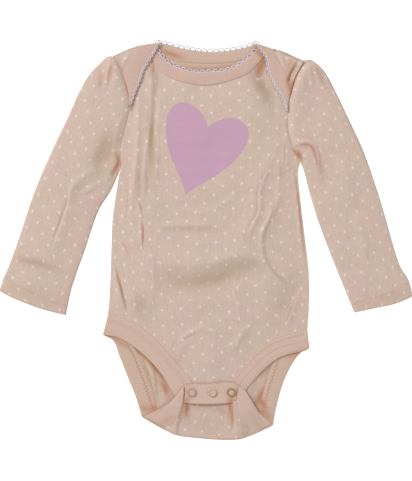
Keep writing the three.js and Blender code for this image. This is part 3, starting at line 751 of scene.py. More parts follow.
rng = np.random.default_rng(7)
WAVES = [(rng.uniform(0, 2 * math.pi), rng.uniform(0, 2 * math.pi), 2 * math.pi / rng.uniform(14, 60))
         for _ in range(16)]


def unevenness(plan):
    """A slow random swell, about 1 mm from low to high."""
    total = np.zeros(plan.shape[:-1])
    for phase, heading, rate in WAVES:
        total += np.sin(rate * (plan[..., 0] * math.cos(heading) + plan[..., 1] * math.sin(heading)) + phase)
    return 0.5 + 0.28 * total / math.sqrt(len(WAVES))


# Painted shade: the depth of a point below the cloth around it becomes warm shade in its colour.
def hollow_shade_of(grid, rounds=6):
    """How far each point lies below the cloth close around it, 0 to 1 at half a millimetre and more."""
    z = grid[..., 2]
    around = z.copy()
    for _ in range(rounds):
        wide = np.pad(around, 1, mode="edge")
        around = (wide[:-2, 1:-1] + wide[2:, 1:-1] + wide[1:-1, :-2] + wide[1:-1, 2:] + 2 * around) / 6
    deep = np.clip((around - z - 0.1) / 0.5, 0, 1) * 0.8
    deep[:, :3] = 0
    deep[:, -3:] = 0
    return deep


print(len(CREASES), "creases,", len(GATHERS), "gathers and", len(TROUGHS), "troughs")

# %% [markdown]
# ## A sheet of cloth
#
# Grids of middle points are joined where they meet, and then given the cloth's thickness with a Solidify
# modifier, so that inside and outside can wear different finishes. The result is one closed mesh at the
# origin, with cloth coordinates in metres for the print.


# %% Grids to a closed cloth mesh
def quads(n, m, start=0):
    """Faces of a grid with n rows of m points."""
    ids = start + np.arange(n * m).reshape(n, m)
    return np.stack([ids[:-1, :-1], ids[:-1, 1:], ids[1:, 1:], ids[1:, :-1]], -1).reshape(-1, 4)


def sheet_mesh(name, grids, wall, outside, inside):
    """grids: a list of (points, cloth coordinates, shade), each with rows of points. The top is outside."""
    points, coords, shades, faces = [], [], [], []
    start = 0
    for grid, cloth, shade in grids:
        points.append(grid.reshape(-1, 3) / 1000)
        coords.append(cloth.reshape(-1, 2) / 1000)
        shades.append(np.clip(shade, -1, 1).reshape(-1))
        faces.append(quads(*grid.shape[:2], start))
        start += grid.shape[0] * grid.shape[1]
    points, coords, shades, faces = (np.concatenate(x) for x in (points, coords, shades, faces))
    mesh = bpy.data.meshes.new(name)
    mesh.from_pydata(points.tolist(), [], faces.tolist())
    mesh.uv_layers.new(name="cloth").data.foreach_set("uv", coords[faces.reshape(-1)].reshape(-1))
    mesh.attributes.new("painted_shade", "FLOAT", "POINT").data.foreach_set("value", shades)
    work = bmesh.new()
    work.from_mesh(mesh)
    bmesh.ops.remove_doubles(work, verts=work.verts, dist=2e-5)
    bmesh.ops.dissolve_degenerate(work, edges=work.edges, dist=1e-6)
    bmesh.ops.recalc_face_normals(work, faces=work.faces)
    top = max(work.faces, key=lambda face: face.calc_center_median().z + abs(face.normal.z) * 0.0005)
    if top.normal.z <= 0:
        bmesh.ops.reverse_faces(work, faces=work.faces)
    work.to_mesh(mesh)
    work.free()
    for material in (outside, inside):
        mesh.materials.append(material)
    sheet = bpy.data.objects.new(name, mesh)
    bpy.context.scene.collection.objects.link(sheet)
    solid = sheet.modifiers.new("wall", "SOLIDIFY")
    solid.thickness = wall / 1000
    solid.offset = 0
    solid.material_offset = 1
    solid.material_offset_rim = 0
    return finished(sheet)


def finished(piece):
    """Bakes a piece's modifiers into a plain mesh and shades it smooth, apart from its sharp edges."""
    graph = bpy.context.evaluated_depsgraph_get()
    plain_mesh = bpy.data.meshes.new_from_object(piece.evaluated_get(graph))
    piece.modifiers.clear()
    piece.data = plain_mesh
    plain_mesh.shade_smooth()
    plain_mesh.set_sharp_from_angle(angle=math.radians(60))
    area = sum(face.area for face in plain_mesh.polygons) / 2
    print(piece.name, len(plain_mesh.polygons), "faces, one side", round(area, 4), "m2")
    return piece


# %% [markdown]
# ## Front panel
#
# One cut piece from the crotch to the neck. Its edges follow the leg seam, the side seam and the armhole,
# and then run under the lap to the neck. At the bindings it is tucked under them, as a seam allowance is;
# at the sides and armholes it dips to meet the next piece. Dots go by the cloth's grain, whose rows climb
# a little to the right where the panel was pulled straight by hand.

# %% Shared seam lines
# Shares of the armhole from the underarm up: where the front goes under the lap, and where the lap's
# binding ends and its seam starts.
UNDER_LAP = 0.7
LAP_END = 0.5
LAP_ROOT = 0.8
SEAM_GAP = 0.15
# Steps along each line.
ARM_STEPS = 72
LAP_STEPS = 20
LEG_STEPS = 75
LEG_BACK_STEPS = 70
FLANK_STEPS = 115
NECK_STEPS = 90
FRONT_NECK_STEPS = 110
FRONT_ACROSS = 165
FOLD_STEPS = 18
TAB_STEPS = 40
SLEEVE_ROWS = 150

LAP_ROOT_STEP = int(ARM_STEPS * LAP_ROOT)
seams = {}
for side, leg, flank, armhole, lap, shoulder in (
    ("left", LEG_LEFT, SIDE_LEFT, ARMHOLE_LEFT, LAP_SEAM_LEFT, SHOULDER_LEFT),
    ("right", LEG_RIGHT, SIDE_RIGHT, ARMHOLE_RIGHT, LAP_SEAM_RIGHT, SHOULDER_RIGHT),
):
    seams[side] = {
        "leg_front": along(leg["front_seam"], LEG_STEPS),
        "leg_back": along(leg["back_seam"], LEG_BACK_STEPS),
        "flank": along(flank, FLANK_STEPS),
        "armhole": along(armhole, ARM_STEPS),
        "lap": along(lap, LAP_STEPS),
        "shoulder": along(shoulder, FOLD_STEPS),
    }
    seams[side]["lap"][-1] = seams[side]["armhole"][LAP_ROOT_STEP]
neck_front_seam = along(FRONT_NECK_SEAM, FRONT_NECK_STEPS)
back_neck_seam = along(BACK_NECK_SEAM, NECK_STEPS)

# %% Front panel
under = int(ARM_STEPS * UNDER_LAP)
front_sides = []
for side, corner in (("left", neck_front_seam[0]), ("right", neck_front_seam[-1])):
    s = seams[side]
    to_neck = spaced(np.array([s["armhole"][under], corner]), 16)
    front_sides.append(end_to_end(s["leg_front"], s["flank"], s["armhole"][:under + 1], to_neck))
front_rim = np.vstack([front_sides[0], front_sides[1][::-1]])[::3]
flank_rims = [end_to_end(seams[side]["flank"], seams[side]["armhole"][:under + 1])[::3]
              for side in ("left", "right")]


def front_height(plan):
    distance = np.abs(nearest(plan, front_rim)[0])
    fade = smoothstep(distance, 0, 6)
    swell = PUFF * smoothstep(distance, 0, PUFF_REACH) + unevenness(plan) * smoothstep(distance, 0, 25)
    flank = np.minimum(*[np.abs(nearest(plan, rim)[0]) for rim in flank_rims])
    dip = 0.2 * (1 - smoothstep(flank, 0, 1.8))
    return FRONT_Z + swell + crease_rise(plan) * fade - dip


def towards(edge, inner, gap):
    run = inner - edge
    return edge + run / np.maximum(np.linalg.norm(run, axis=-1, keepdims=True), 1e-9) * gap


def drawn_in(rows, sides="left right first last", gap=0.0):
    """Moves a patch's edges in from its seams, or with a gap below 0 tucks them under what is beside."""
    rows = rows.copy()
    if "left" in sides:
        rows[:, 0] = towards(rows[:, 0], rows[:, 1], gap)
    if "right" in sides:
        rows[:, -1] = towards(rows[:, -1], rows[:, -2], gap)
    if "first" in sides:
        rows[0] = towards(rows[0], rows[1], gap)
    if "last" in sides:
        rows[-1] = towards(rows[-1], rows[-2], gap)
    return rows


# How the cloth lies on the plan. Columns: power across, power up, and mm at 100 mm from the middle.
BODY_ACROSS = [(0, 0, -0.2), (1, 0, 102.0), (0, 1, 4.5), (2, 0, -0.7), (1, 1, 0.8), (0, 2, -0.9), (3, 0, 3.8)]
BODY_UP = [(0, 0, -21.5), (0, 1, 102.2), (1, 0, -9.2), (2, 0, -3.2), (2, 1, -4.3), (0, 2, -0.9), (0, 3, -1.0)]


def pulled(rows, across, up):
    """Cloth coordinates in mm of plan points, from the two tables of how the cloth was pulled."""
    x, y = rows[..., 0] / 100, rows[..., 1] / 100
    return np.stack([sum(mm * x ** i * y ** j for i, j, mm in table) for table in (across, up)], -1)


front_plan = patch(front_sides[0], front_sides[1], FRONT_ACROSS, last=spaced(neck_front_seam, FRONT_ACROSS),
                   reach=5)
leg_rows = slice(0, LEG_STEPS)
front_plan[leg_rows] = drawn_in(front_plan[leg_rows], "left right", TUCK)
front_plan = drawn_in(front_plan, "first last", TUCK)
front_grid = lift(front_plan, front_height)
# Painted shade on the front: its marks, and warm shade where it lies in a hollow.
front_marks = shade_marks(front_plan)
front_shade = front_marks + hollow_shade_of(front_grid) * (front_marks > -0.1)
front_print = pulled(front_plan, BODY_ACROSS, BODY_UP)
front_cloth = sheet_mesh("front_cloth", [(front_grid, front_print, front_shade)], WALL, jersey_front,
                         jersey_inside)

# %% [markdown]
# ## Back panel
#
# The back is one cut piece too, but it doesn't stay flat: at each shoulder it folds over to make a lap,
# and at the bottom it folds up to make the tab. The fold is half a circle of rows, so the same sheet
# turns its dotted outside up. Its plain inside shows behind the neck and in the leg openings.

# %% Back panel, flat part
FOLD_ROOT = 4.0
bottom_fold = along(BOTTOM_FOLD, 2 * FOLD_STEPS + NECK_STEPS)
INSIDE_CREASES = [
    (1.9, 2.4, [(147, 356), (152.5, 374), (155.5, 398)]),
    (1.1, 3.5, [(256, 368), (250, 386), (251, 404)]),
]


def back_side(side):
    s = seams[side]
    return end_to_end(s["leg_back"][::-1], s["flank"], s["armhole"])


def inside_rise(plan):
    """Low creases of the back's inside where the leg openings show it."""
    up = np.zeros(plan.shape[:-1])
    for crease in INSIDE_CREASES:
        up = np.maximum(up, soft_stroke(plan, *crease))
    return up


flat_top = end_to_end(
    shifted(seams["left"]["shoulder"], -FOLD_ROOT), back_neck_seam,
    shifted(seams["right"]["shoulder"][::-1], -FOLD_ROOT))
flat_plan = patch(back_side("left"), back_side("right"), len(flat_top) - 1,
                  first=shifted(bottom_fold, FOLD_ROOT), last=flat_top, reach=25)
neck_part = slice(FOLD_STEPS + 1, FOLD_STEPS + NECK_STEPS)
flat_plan[-1, neck_part] = towards(flat_plan[-1, neck_part], flat_plan[-2, neck_part], TUCK)
leg_part = slice(2, LEG_BACK_STEPS)
flat_plan[leg_part] = drawn_in(flat_plan[leg_part], "left right", TUCK)
flat_back = lift(flat_plan, lambda plan: BACK_Z + inside_rise(plan))
# Marks of painted shade on the back's inside, where the neck and leg openings show it.
BACK_SHADES = [
    (0.5, 4, [(176, 66), (210, 70), (244, 63)]),
    (1.0, 2.8, [(116, 342), (142, 354), (159, 373), (171, 394)]),
    (-0.6, 5, [(122, 350), (142, 370), (152, 392)]),
    (0.9, 3.0, [(160, 380), (165, 388), (168, 397)]),
    (0.7, 1.5, [(304, 353), (284, 358), (273, 366), (260, 380)]),
    (-0.1, 6, [(288, 360), (268, 374), (252, 394)]),
    (0.9, 4, [(266, 386), (260, 398), (254, 408)]),
    (0.7, 1.4, [(138.6, 352), (149, 376), (156.6, 410)]),
    (0.4, 2.0, [(271, 365), (264, 388), (259, 406)]),
]
flat_shade = shade_marks(flat_plan, BACK_SHADES)


# %% Laps and tab
LAP_CREASES = [
    (1.5, 1.2, 6, [(297, 58), (291, 70), (287.5, 79), (290, 91)]),
    (0.8, 3, 3, [(279, 52), (283, 64), (285, 76)]),
    (0.7, 2.5, 2.5, [(131, 50), (125, 62), (119, 72)]),
]
# Marks of painted shade on the laps and on the tab.
LAP_SHADES = [
    (-0.7, 1.4, [(110, 58), (122, 52), (139, 45.6), (150, 42)]),
    (-0.7, 1.4, [(268, 46), (280, 51.6), (292, 57), (306, 62)]),
    (0.5, 3, [(292, 56), (289, 66), (284, 78)]),
    (1.0, 1.6, [(297, 62), (292, 70), (288.6, 78), (290.6, 89)]),
    (0.35, 2, [(118, 58), (121, 68), (123.6, 76)]),
]
TAB_SHADES = [
    (-0.2, 9, [(186, 420), (210, 424), (230, 418)]),
    (-0.5, 3, [(188, 406), (208, 405.6), (228, 405)]),
    (-0.45, 5, [(210, 407), (221, 409), (227, 418)]),
    (-0.5, 4, [(242, 422), (247, 430), (242, 438)]),
    (1.0, 3.2, [(184, 396), (186.6, 404), (186, 418)]),
    (0.9, 2.6, [(231, 396), (230, 404), (231.6, 418)]),
    (0.6, 2.0, [(184, 402), (182.6, 412), (180, 424)]),
    (0.4, 4.0, [(186, 402), (185, 412), (182, 420)]),
    (0.9, 1.8, [(232.0, 398), (232.2, 412), (232.8, 428)]),
    (0.45, 4.0, [(229, 400), (229.6, 412), (230.6, 424)]),
    (0.45, 4.0, [(184, 405), (208, 405), (232, 403)]),
    (0.35, 2.0, [(166, 426), (176, 420)]),
]


LAP_FOLLOWS = 0.4
LAP_LEVEL = FRONT_Z + 0.9
TAB_RIDGES = {
    "left": [(176.4, 436), (176.8, 420), (180.4, 407), (182, 396)],
    "right": [(235.8, 436), (235.2, 420), (234, 406), (233.4, 396)],
}
RIDGE_RISE = 1.3
RIDGE_DIP = 0.25
TAB_SAG = 1.1


def lap_height(plan):
    """A lap follows the front's height in part, and lies level for the rest."""
    below = front_height(plan) * LAP_FOLLOWS + LAP_LEVEL * (1 - LAP_FOLLOWS)
    return below + LAP_RISE + crests(plan, LAP_CREASES)


def lap_grid(side, edge_row):
    s = seams[side]
    outer = spaced(s["armhole"][LAP_ROOT_STEP:][::-1], LAP_STEPS)
    over = patch(outer, s["lap"], FOLD_STEPS, first=s["shoulder"], reach=2)
    over = drawn_in(over, "right", TUCK)
    over[1:] = drawn_in(over[1:], "left", SEAM_GAP)
    root = np.stack([edge_row[:, :2], s["shoulder"]])
    return folded_over(lift(root, BACK_Z), lift(over, lap_height), WALL)


def tab_height(plan):
    """The tab climbs from the bottom fold to the front's end, with a ridge along each side."""
    x, y = plan[..., 0], plan[..., 1]
    up = smoothstep(y, -196, -165)
    ridges = 0
    dips = 0
    for side, outer in (("left", 1), ("right", -1)):
        distance, _ = nearest(plan, along(TAB_RIDGES[side], 20))
        inward = -distance * outer
        width = np.where(inward < 0, 6.0, 1.5)
        ridges = ridges + np.exp(-np.abs(distance / width) ** 1.5)
        dips = dips + np.exp(-(((inward - 3.2) / 2.0) ** 2))
    middle = smoothstep(-np.abs(x - 2), -26, -16)
    sag = TAB_SAG * smoothstep(y, -192, -172) * middle
    ends = smoothstep(y, -198, -190)
    level = TAB_FOLD_Z + (TAB_Z - TAB_FOLD_Z) * up
    return level + (RIDGE_RISE * ridges - RIDGE_DIP * dips) * ends - sag


def tab_grid(edge_row):
    # The tab's sides end under the placket, before the seam lines do.
    sides = [along(leg["tab_seam"], TAB_STEPS + 10)[:TAB_STEPS + 1] for leg in (LEG_LEFT, LEG_RIGHT)]
    over = patch(sides[0], sides[1], len(edge_row) - 1, first=bottom_fold,
                 last=along(TAB_TOP, len(edge_row) - 1), reach=2)
    over[1:] = drawn_in(over[1:], "left right last", TUCK)
    root = np.stack([edge_row[:, :2], bottom_fold])
    return folded_over(lift(root, BACK_Z), lift(over, tab_height), WALL)


def lap_cloth(lean):
    """How a lap's cloth lies on the plan: the two laps mirror each other."""
    return ([(0, 0, 80.0 * lean), (1, 0, 96.0), (0, 1, -28.0 * lean)],
            [(0, 0, -160.0), (1, 0, 28.0 * lean), (0, 1, 96.0)])


TAB_CLOTH = ([(0, 0, -29.1), (1, 0, 111.8), (0, 1, -17.5)], [(0, 0, 162.5), (1, 0, 13.1), (0, 1, 93.1)])
# How much painted shade the laps and tab take from the depth of their hollows.
FOLD_HOLLOW_SHADE = 0.6
folds = [
    (lap_grid("left", flat_back[-1, :FOLD_STEPS + 1]), lap_cloth(1), LAP_SHADES),
    (lap_grid("right", flat_back[-1, -FOLD_STEPS - 1:][::-1]), lap_cloth(-1), LAP_SHADES),
    (tab_grid(flat_back[0]), TAB_CLOTH, TAB_SHADES),
]
back_grids = [(flat_back, pulled(flat_back, BODY_ACROSS, BODY_UP), flat_shade)]
for grid, cloth, marks in folds:
    shade = hollow_shade_of(grid) * FOLD_HOLLOW_SHADE + shade_marks(grid[..., :2], marks)
    back_grids.append((grid, pulled(grid, *cloth), shade))
back_cloth = sheet_mesh("back_cloth", back_grids, WALL, jersey_outside, jersey_inside)

# %% [markdown]
# ## Bindings
#
# A binding is a strip of rib folded over a raw edge and sewn down, so it is thicker than the jersey and
# rounded at its edges. It is a ribbon between a seam line and a free edge. The back's neck binding turns
# over both shoulders with the laps. Each leg binding runs round its leg opening, from the front over the
# hip to the back and round the bottom to the tab.


# %% Ribbons
ACROSS = 12
SPREAD = (1 - np.cos(math.pi * np.linspace(0, 1, ACROSS + 1))) / 2
ROUNDING = 0.4 * (1 - np.abs(2 * SPREAD - 1) ** 5) - 0.04
# Painted shade: both edges of every binding are painted as warm shade.
EDGE_SHADE = 0.55


def strip(seam, free, height):
    """A lifted strip between a seam line and a free edge, rounded across, with more points at its edges."""
    plan = seam[:, None] + (free - seam)[:, None] * SPREAD[None, :, None]
    grid = lift(plan, height)
    grid[..., 2] += ROUNDING
    return grid


def arc_cloth(grid):
    """Cloth coordinates of a ribbon: along it and across it."""
    middle = grid[:, grid.shape[1] // 2]
    walked = np.r_[0, np.cumsum(np.linalg.norm(np.diff(middle, axis=0), axis=1))]
    width = np.r_[0, np.cumsum(np.linalg.norm(np.diff(grid[len(grid) // 2], axis=0), axis=1))]
    return np.stack(np.broadcast_arrays(walked[:, None], width[None]), -1).astype(float)


def ribbon(*legs):
    """Folds join one leg of (seam line, free edge table, height) to the next."""
    whole = None
    for seam, free, height in legs:
        grid = strip(seam, along(free, len(seam) - 1), height)
        whole = grid if whole is None else folded_over(whole, grid, RIB_WALL)
    return whole


def rib_piece(name, grid, marks=(), high_marks=(), split=99.0, outside=rib_outside):
    """Marks of painted shade fall on points lower than split, in mm, and high_marks on those above it."""
    low, high = (shade_marks(grid[..., :2], rows) for rows in (marks, high_marks))
    shade = np.where(grid[..., 2] < split, low, high)
    shade[:, [0, -1]] = np.maximum(shade[:, [0, -1]], EDGE_SHADE)
    return sheet_mesh(name, [(grid, arc_cloth(grid), shade)], RIB_WALL, outside, rib_inside)


def lap_rib_height(plan):
    return lap_height(plan) + 0.2


def front_rib_height(plan):
    return front_height(plan) + 0.25


def lap_side(side):
    """A lap binding's seam line: first along the armhole, and then along the lap."""
    armhole = seams[side]["armhole"][int(ARM_STEPS * LAP_END):LAP_ROOT_STEP + 1]
    return spaced(end_to_end(armhole, seams[side]["lap"][::-1]), 48)


neck_grid = strip(neck_front_seam, along(FRONT_NECK_EDGE, FRONT_NECK_STEPS), front_rib_height)
neck_front = rib_piece("neck_binding_front_rib", neck_grid, [
    (0.8, 3.0, [(254, 49), (261, 55), (264, 62)]),
    (0.2, 2.0, [(158, 46), (156, 52), (157, 60)]),
], outside=rib_neck_shaded)
back_neck_grid = ribbon(
    (lap_side("left"), LAP_EDGE_LEFT[::-1], lap_rib_height),
    (back_neck_seam, BACK_NECK_EDGE, BACK_RIB_Z),
    (lap_side("right")[::-1], LAP_EDGE_RIGHT, lap_rib_height),
)
neck_back = rib_piece("neck_binding_back_rib", back_neck_grid, [
    (0.85, 2.8, [(157, 48), (165, 52), (174, 55), (184, 58)]),
    (0.7, 4, [(262, 44), (256, 50), (252, 55)]),
], [
    (1.0, 1.6, [(293, 66), (288.2, 76), (287.6, 83), (290.2, 92)]),
    (1.0, 1.3, [(295, 78), (291.6, 86), (289, 97)]),
], split=1.6, outside=rib_neck_shaded)

# %% Leg bindings
WING_CREST = 0.8


def leg_ribbon(side, leg):
    def tab_rise(plan):
        """Beside the tab the binding climbs to it and stands up a little."""
        _, where = nearest(plan, along(leg["tab_seam"], 12))
        climb = TAB_FOLD_Z + (TAB_Z + 0.2 - TAB_FOLD_Z) * smoothstep(where, 0.1, 0.8)
        return climb + WING_CREST * smoothstep(where, 0.15, 0.6)

    return ribbon(
        (seams[side]["leg_front"], leg["front_edge"], FRONT_RIB_Z),
        (seams[side]["leg_back"], leg["back_edge"], BACK_RIB_Z),
        (along(leg["tab_seam"], TAB_STEPS), leg["tab_edge"], tab_rise),
    )


leg_grids = {"left": leg_ribbon("left", LEG_LEFT), "right": leg_ribbon("right", LEG_RIGHT)}
# Marks of painted shade on the leg bindings.
LEG_SHADES = [
    (-0.5, 2.6, [(146, 419), (156, 423.6), (168, 428)]),
    (-0.35, 7, [(254, 416), (261, 426), (266, 426)]),
    (0.4, 3, [(156, 425), (165, 421), (174, 416)]),
    (-0.5, 4, [(242, 422), (247, 430), (242, 438)]),
    (0.5, 4, [(139, 404), (145, 409), (154, 408)]),
    (1.0, 2.6, [(267, 410), (262, 403), (259, 394)]),
    (0.55, 3, [(106, 336), (118, 341), (130, 348)]),
    (0.55, 3, [(308, 349), (296, 354), (284, 358)]),
    (0.6, 4, [(143, 412), (152, 409), (163, 405)]),
    (0.6, 4, [(272, 420), (264, 412), (256, 405)]),
]
leg_bindings = {side: rib_piece(f"leg_binding_{side}_rib", grid, LEG_SHADES)
                for side, grid in leg_grids.items()}

# %% Placket
PLACKET_MIDDLE = 4.8
PLACKET_HALF = 27.5
END_DROP = 0.5
PLACKET_STEPS = 44
PLACKET_ACROSS = 16


def placket_height(plan):
    """Level, and lower at both ends."""
    from_end = PLACKET_HALF - np.abs(plan[..., 0] - PLACKET_MIDDLE)
    return PLACKET_Z - END_DROP * (1 - smoothstep(from_end, 0, 3.5))


placket_plan = patch(along(PLACKET_BOTTOM, PLACKET_STEPS), along(PLACKET_TOP, PLACKET_STEPS), PLACKET_ACROSS)
placket_grid = lift(placket_plan, placket_height)
placket_grid[..., 2] += PLACKET_LIP * (1 - smoothstep(np.linspace(0, 1, PLACKET_ACROSS + 1), 0.1, 0.3))
placket = rib_piece("placket_rib", placket_grid, [
    (0.9, 1.4, [(184.6, 385), (184, 394), (183.4, 404)]),
    (0.5, 2.0, [(237, 385), (237.4, 394), (237.4, 404)]),
    (0.8, 2.6, [(182, 405), (186, 400), (191, 398)]),
    (0.9, 2.6, [(226, 399), (231, 400), (236, 404)]),
    (0.6, 0.8, [(207, 382.6), (214, 382.4), (222, 383)]),
])

# %% [markdown]
# ## Sleeves
#
# A sleeve laid flat is a flattened tube: its lower side lies on the table, its upper side swells a little
# and carries the creases. Each row of the tube is a ring, out along the top and back along the bottom.
# The heads are gathered, so short crests start at the armhole, and they stand higher than the lap.


# %% Sleeves
HEAD_RISE = 1.5
HEAD_REACH = 9
CUFF_REACH = 2.2
SLEEVE_UNEVEN = 0.8
SEAM_Z = 1.6
LAP_BLEND = 0.08
# Painted shade: dull on each sleeve's right-hand turned edge and at the cuff, warm along the armhole.
TURNED_SHADE = -0.8
ARMHOLE_SHADE = 0.6


def sleeve_swell(u):
    return PUFF * np.sin(math.pi * u) ** 0.8


def sleeve_grid(table, armhole, outwards):
    """Rings of points from the cuff to the armhole, and their shade."""
    across = ARM_STEPS
    at_lap = smoothstep(np.linspace(1, 0, len(armhole)), LAP_END, LAP_END + LAP_BLEND)
    head = shifted(armhole[::-1], outwards * (SEAM_GAP - 0.9 * at_lap)[:, None])
    plan = patch(along(table["outer"], SLEEVE_ROWS), along(table["inner"], SLEEVE_ROWS), across,
                 first=along(table["cuff"], across), last=head, reach=CUFF_REACH)
    u = np.linspace(0, 1, across + 1)
    swell = sleeve_swell(u)
    edge = smoothstep(np.minimum(u, 1 - u), 0, 0.1)
    to_seam, where = nearest(plan, armhole)
    to_seam = np.abs(to_seam)
    seam_z = SEAM_Z + 0.9 * smoothstep(where, LAP_END, LAP_END + LAP_BLEND)
    puffed = HEAD_RISE * (1 - smoothstep(u, 0.25, 0.5)) * np.exp(-((to_seam - 5) / HEAD_REACH) ** 2)
    top_z = SLEEVE_TOP_Z + swell + (crease_rise(plan) + unevenness(plan) * SLEEVE_UNEVEN + puffed) * edge
    top_z = seam_z + (top_z - seam_z) * smoothstep(to_seam, -1.5, 7.0)
    radius = (SLEEVE_TOP_Z - BACK_Z) / 2
    top = np.concatenate([plan, top_z[..., None]], 2)
    bottom = np.concatenate([plan, np.full_like(top_z, BACK_Z)[..., None]], 2)
    arcs = []
    for i, following in ((0, 1), (-1, -2)):
        out = plan[:, i] - plan[:, following]
        out = out / np.linalg.norm(out, axis=1, keepdims=True)
        inner = plan[:, i] - out * (radius + WALL / 2)
        top[:, i, :2] = inner
        bottom[:, i, :2] = inner
        turn = []
        for angle in np.linspace(0, math.pi, 7)[1:-1]:
            z = np.full((len(plan), 1), BACK_Z + radius + radius * math.cos(angle))
            turn.append(np.concatenate([inner + out * radius * math.sin(angle), z], 1))
        arcs.append(np.stack(turn, 1))
    near, far = arcs
    ring = np.concatenate([top, far, bottom[:, ::-1], near[:, ::-1], top[:, :1]], 1)
    shade = np.zeros(ring.shape[:2])
    marks = shade_marks(plan, SLEEVE_SHADES)
    body_side = slice(across + 1, across + 6) if outwards < 0 else slice(-6, None)
    shade[:, body_side] = TURNED_SHADE
    shade[:, 2:across - 1] = (marks + hollow_shade_of(top) * 0.8 * (marks > -0.1))[:, 2:-2]
    shade[:1] = TURNED_SHADE
    shade[-1:] = ARMHOLE_SHADE
    return ring, shade


# Marks of painted shade on the sleeves.
SLEEVE_SHADES = [
    (0.45, 4.5, [(112, 136), (107, 152), (99, 168)]),
    (1.0, 2.6, [(295, 150), (299, 154), (301, 162)]),
    (0.9, 1.5, [(296, 146), (304, 144.6), (310.6, 146), (314.6, 154), (317.6, 168)]),
    (0.3, 3.5, [(316, 160), (321, 172), (322, 184)]),
    (1.0, 2.2, [(115.6, 153), (118.2, 159), (117.4, 165), (114, 171), (110, 178)]),
    (0.35, 0.8, [(129.4, 108), (127.4, 119), (124, 131), (120, 140), (116.8, 147)]),
    (-0.6, 7, [(110, 128), (104, 146), (98, 162), (94, 176)]),
    (-0.3, 6, [(84, 176), (76, 190), (70, 206)]),
    (-0.4, 5, [(14, 258), (34, 262), (58, 269)]),
    (0.9, 1.6, [(292, 68), (289.6, 76), (288.6, 84)]),
    (0.7, 1.4, [(111.5, 62), (109.6, 72), (107.6, 85)]),
    (0.4, 2.0, [(101, 66), (100, 78), (100, 90)]),
    (-0.5, 3.0, [(315, 65), (320, 76), (325, 88)]),
    (0.3, 1.0, [(69, 189), (66.6, 203), (61.6, 218), (52, 245)]),
    (0.18, 7, [(2, 284), (34, 295), (72, 303)]),
    (0.18, 7, [(350, 306), (380, 300), (410, 288)]),
    (0.9, 1.6, [(304, 60), (298, 70), (293, 82), (290.6, 92)]),
    (0.6, 0.9, [(113, 58), (121, 68), (125, 80), (128, 93), (129.6, 104)]),
    (0.5, 0.8, [(287, 102), (287.2, 120), (288, 135)]),
]
SLEEVE_CLOTH = {
    "left": ([(0, 0, 171.5), (1, 0, 112.2), (0, 1, -38.1), (0, 2, -9.6), (1, 1, -3.0), (2, 0, 1.5)],
             [(0, 0, -9.5), (1, 0, 12.2), (0, 1, 104.8), (0, 2, -3.5), (1, 1, 10.3), (2, 0, -6.3)]),
    "right": ([(0, 0, -166.8), (1, 0, 94.9), (0, 1, 31.3), (0, 2, 7.1), (1, 1, -4.1), (2, 0, 7.2)],
              [(0, 0, -17.8), (1, 0, -15.1), (0, 1, 110.1), (0, 2, -2.2), (1, 1, -12.3), (2, 0, -0.9)]),
}
sleeves = {}
for side, table, outwards in (("left", SLEEVE_LEFT, -1), ("right", SLEEVE_RIGHT, 1)):
    grid, shade = sleeve_grid(table, seams[side]["armhole"], outwards)
    sleeve_print = pulled(grid, *SLEEVE_CLOTH[side])
    sleeves[side] = sheet_mesh(f"sleeve_{side}_cloth", [(grid, sleeve_print, shade)], WALL, jersey_outside,
                               jersey_inside)

# %% [markdown]
# ## Picot edging and stitches
#
# The neck is edged with a crocheted picot: a row of small thread loops on a chain. Loops repeat along a
# path, which is what Geometry Nodes are for. The tree takes the path as an edge mesh, cuts it into equal
# steps, and sets one arch of thread on each step, turned to the path. The seams are topstitched; the same
# kind of tree sets one short thread on each step, leaning to alternate sides for a zigzag.


# %% Trees
def new_tree(name, *inputs):
    tree = bpy.data.node_groups.new(name, "GeometryNodeTree")
    tree.interface.new_socket("Geometry", in_out="INPUT", socket_type="NodeSocketGeometry")
    for label, kind, value in inputs:
        socket = tree.interface.new_socket(label, in_out="INPUT", socket_type=kind)
        if value is not None:
            socket.default_value = value
    tree.interface.new_socket("Geometry", in_out="OUTPUT", socket_type="NodeSocketGeometry")
    return tree, tree.nodes.new("NodeGroupInput"), tree.nodes.new("NodeGroupOutput")


def finish_tree(tree, start, end, pieces):
    both = add_node(tree, "GeometryNodeJoinGeometry")
    for piece in pieces:
        tree.links.new(piece, both.inputs[0])
    real = add_node(tree, "GeometryNodeRealizeInstances", Geometry=both.outputs["Geometry"])
    dressed = add_node(tree, "GeometryNodeSetMaterial", Geometry=real.outputs["Geometry"],
                       Material=start.outputs["Material"])
    tree.links.new(dressed.outputs["Geometry"], end.inputs["Geometry"])
    return tree


def facing_along(tree):
    """A rotation whose X follows the path and whose Z stays up."""
    tangent = add_node(tree, "GeometryNodeInputTangent")
    facing = add_node(tree, "FunctionNodeAlignRotationToVector", {"axis": "X"},
                      Vector=tangent.outputs["Tangent"])
    return add_node(tree, "FunctionNodeAlignRotationToVector", {"axis": "Z", "pivot_axis": "X"},
                    Rotation=facing.outputs["Rotation"], Vector=(0.0, 0.0, 1.0))


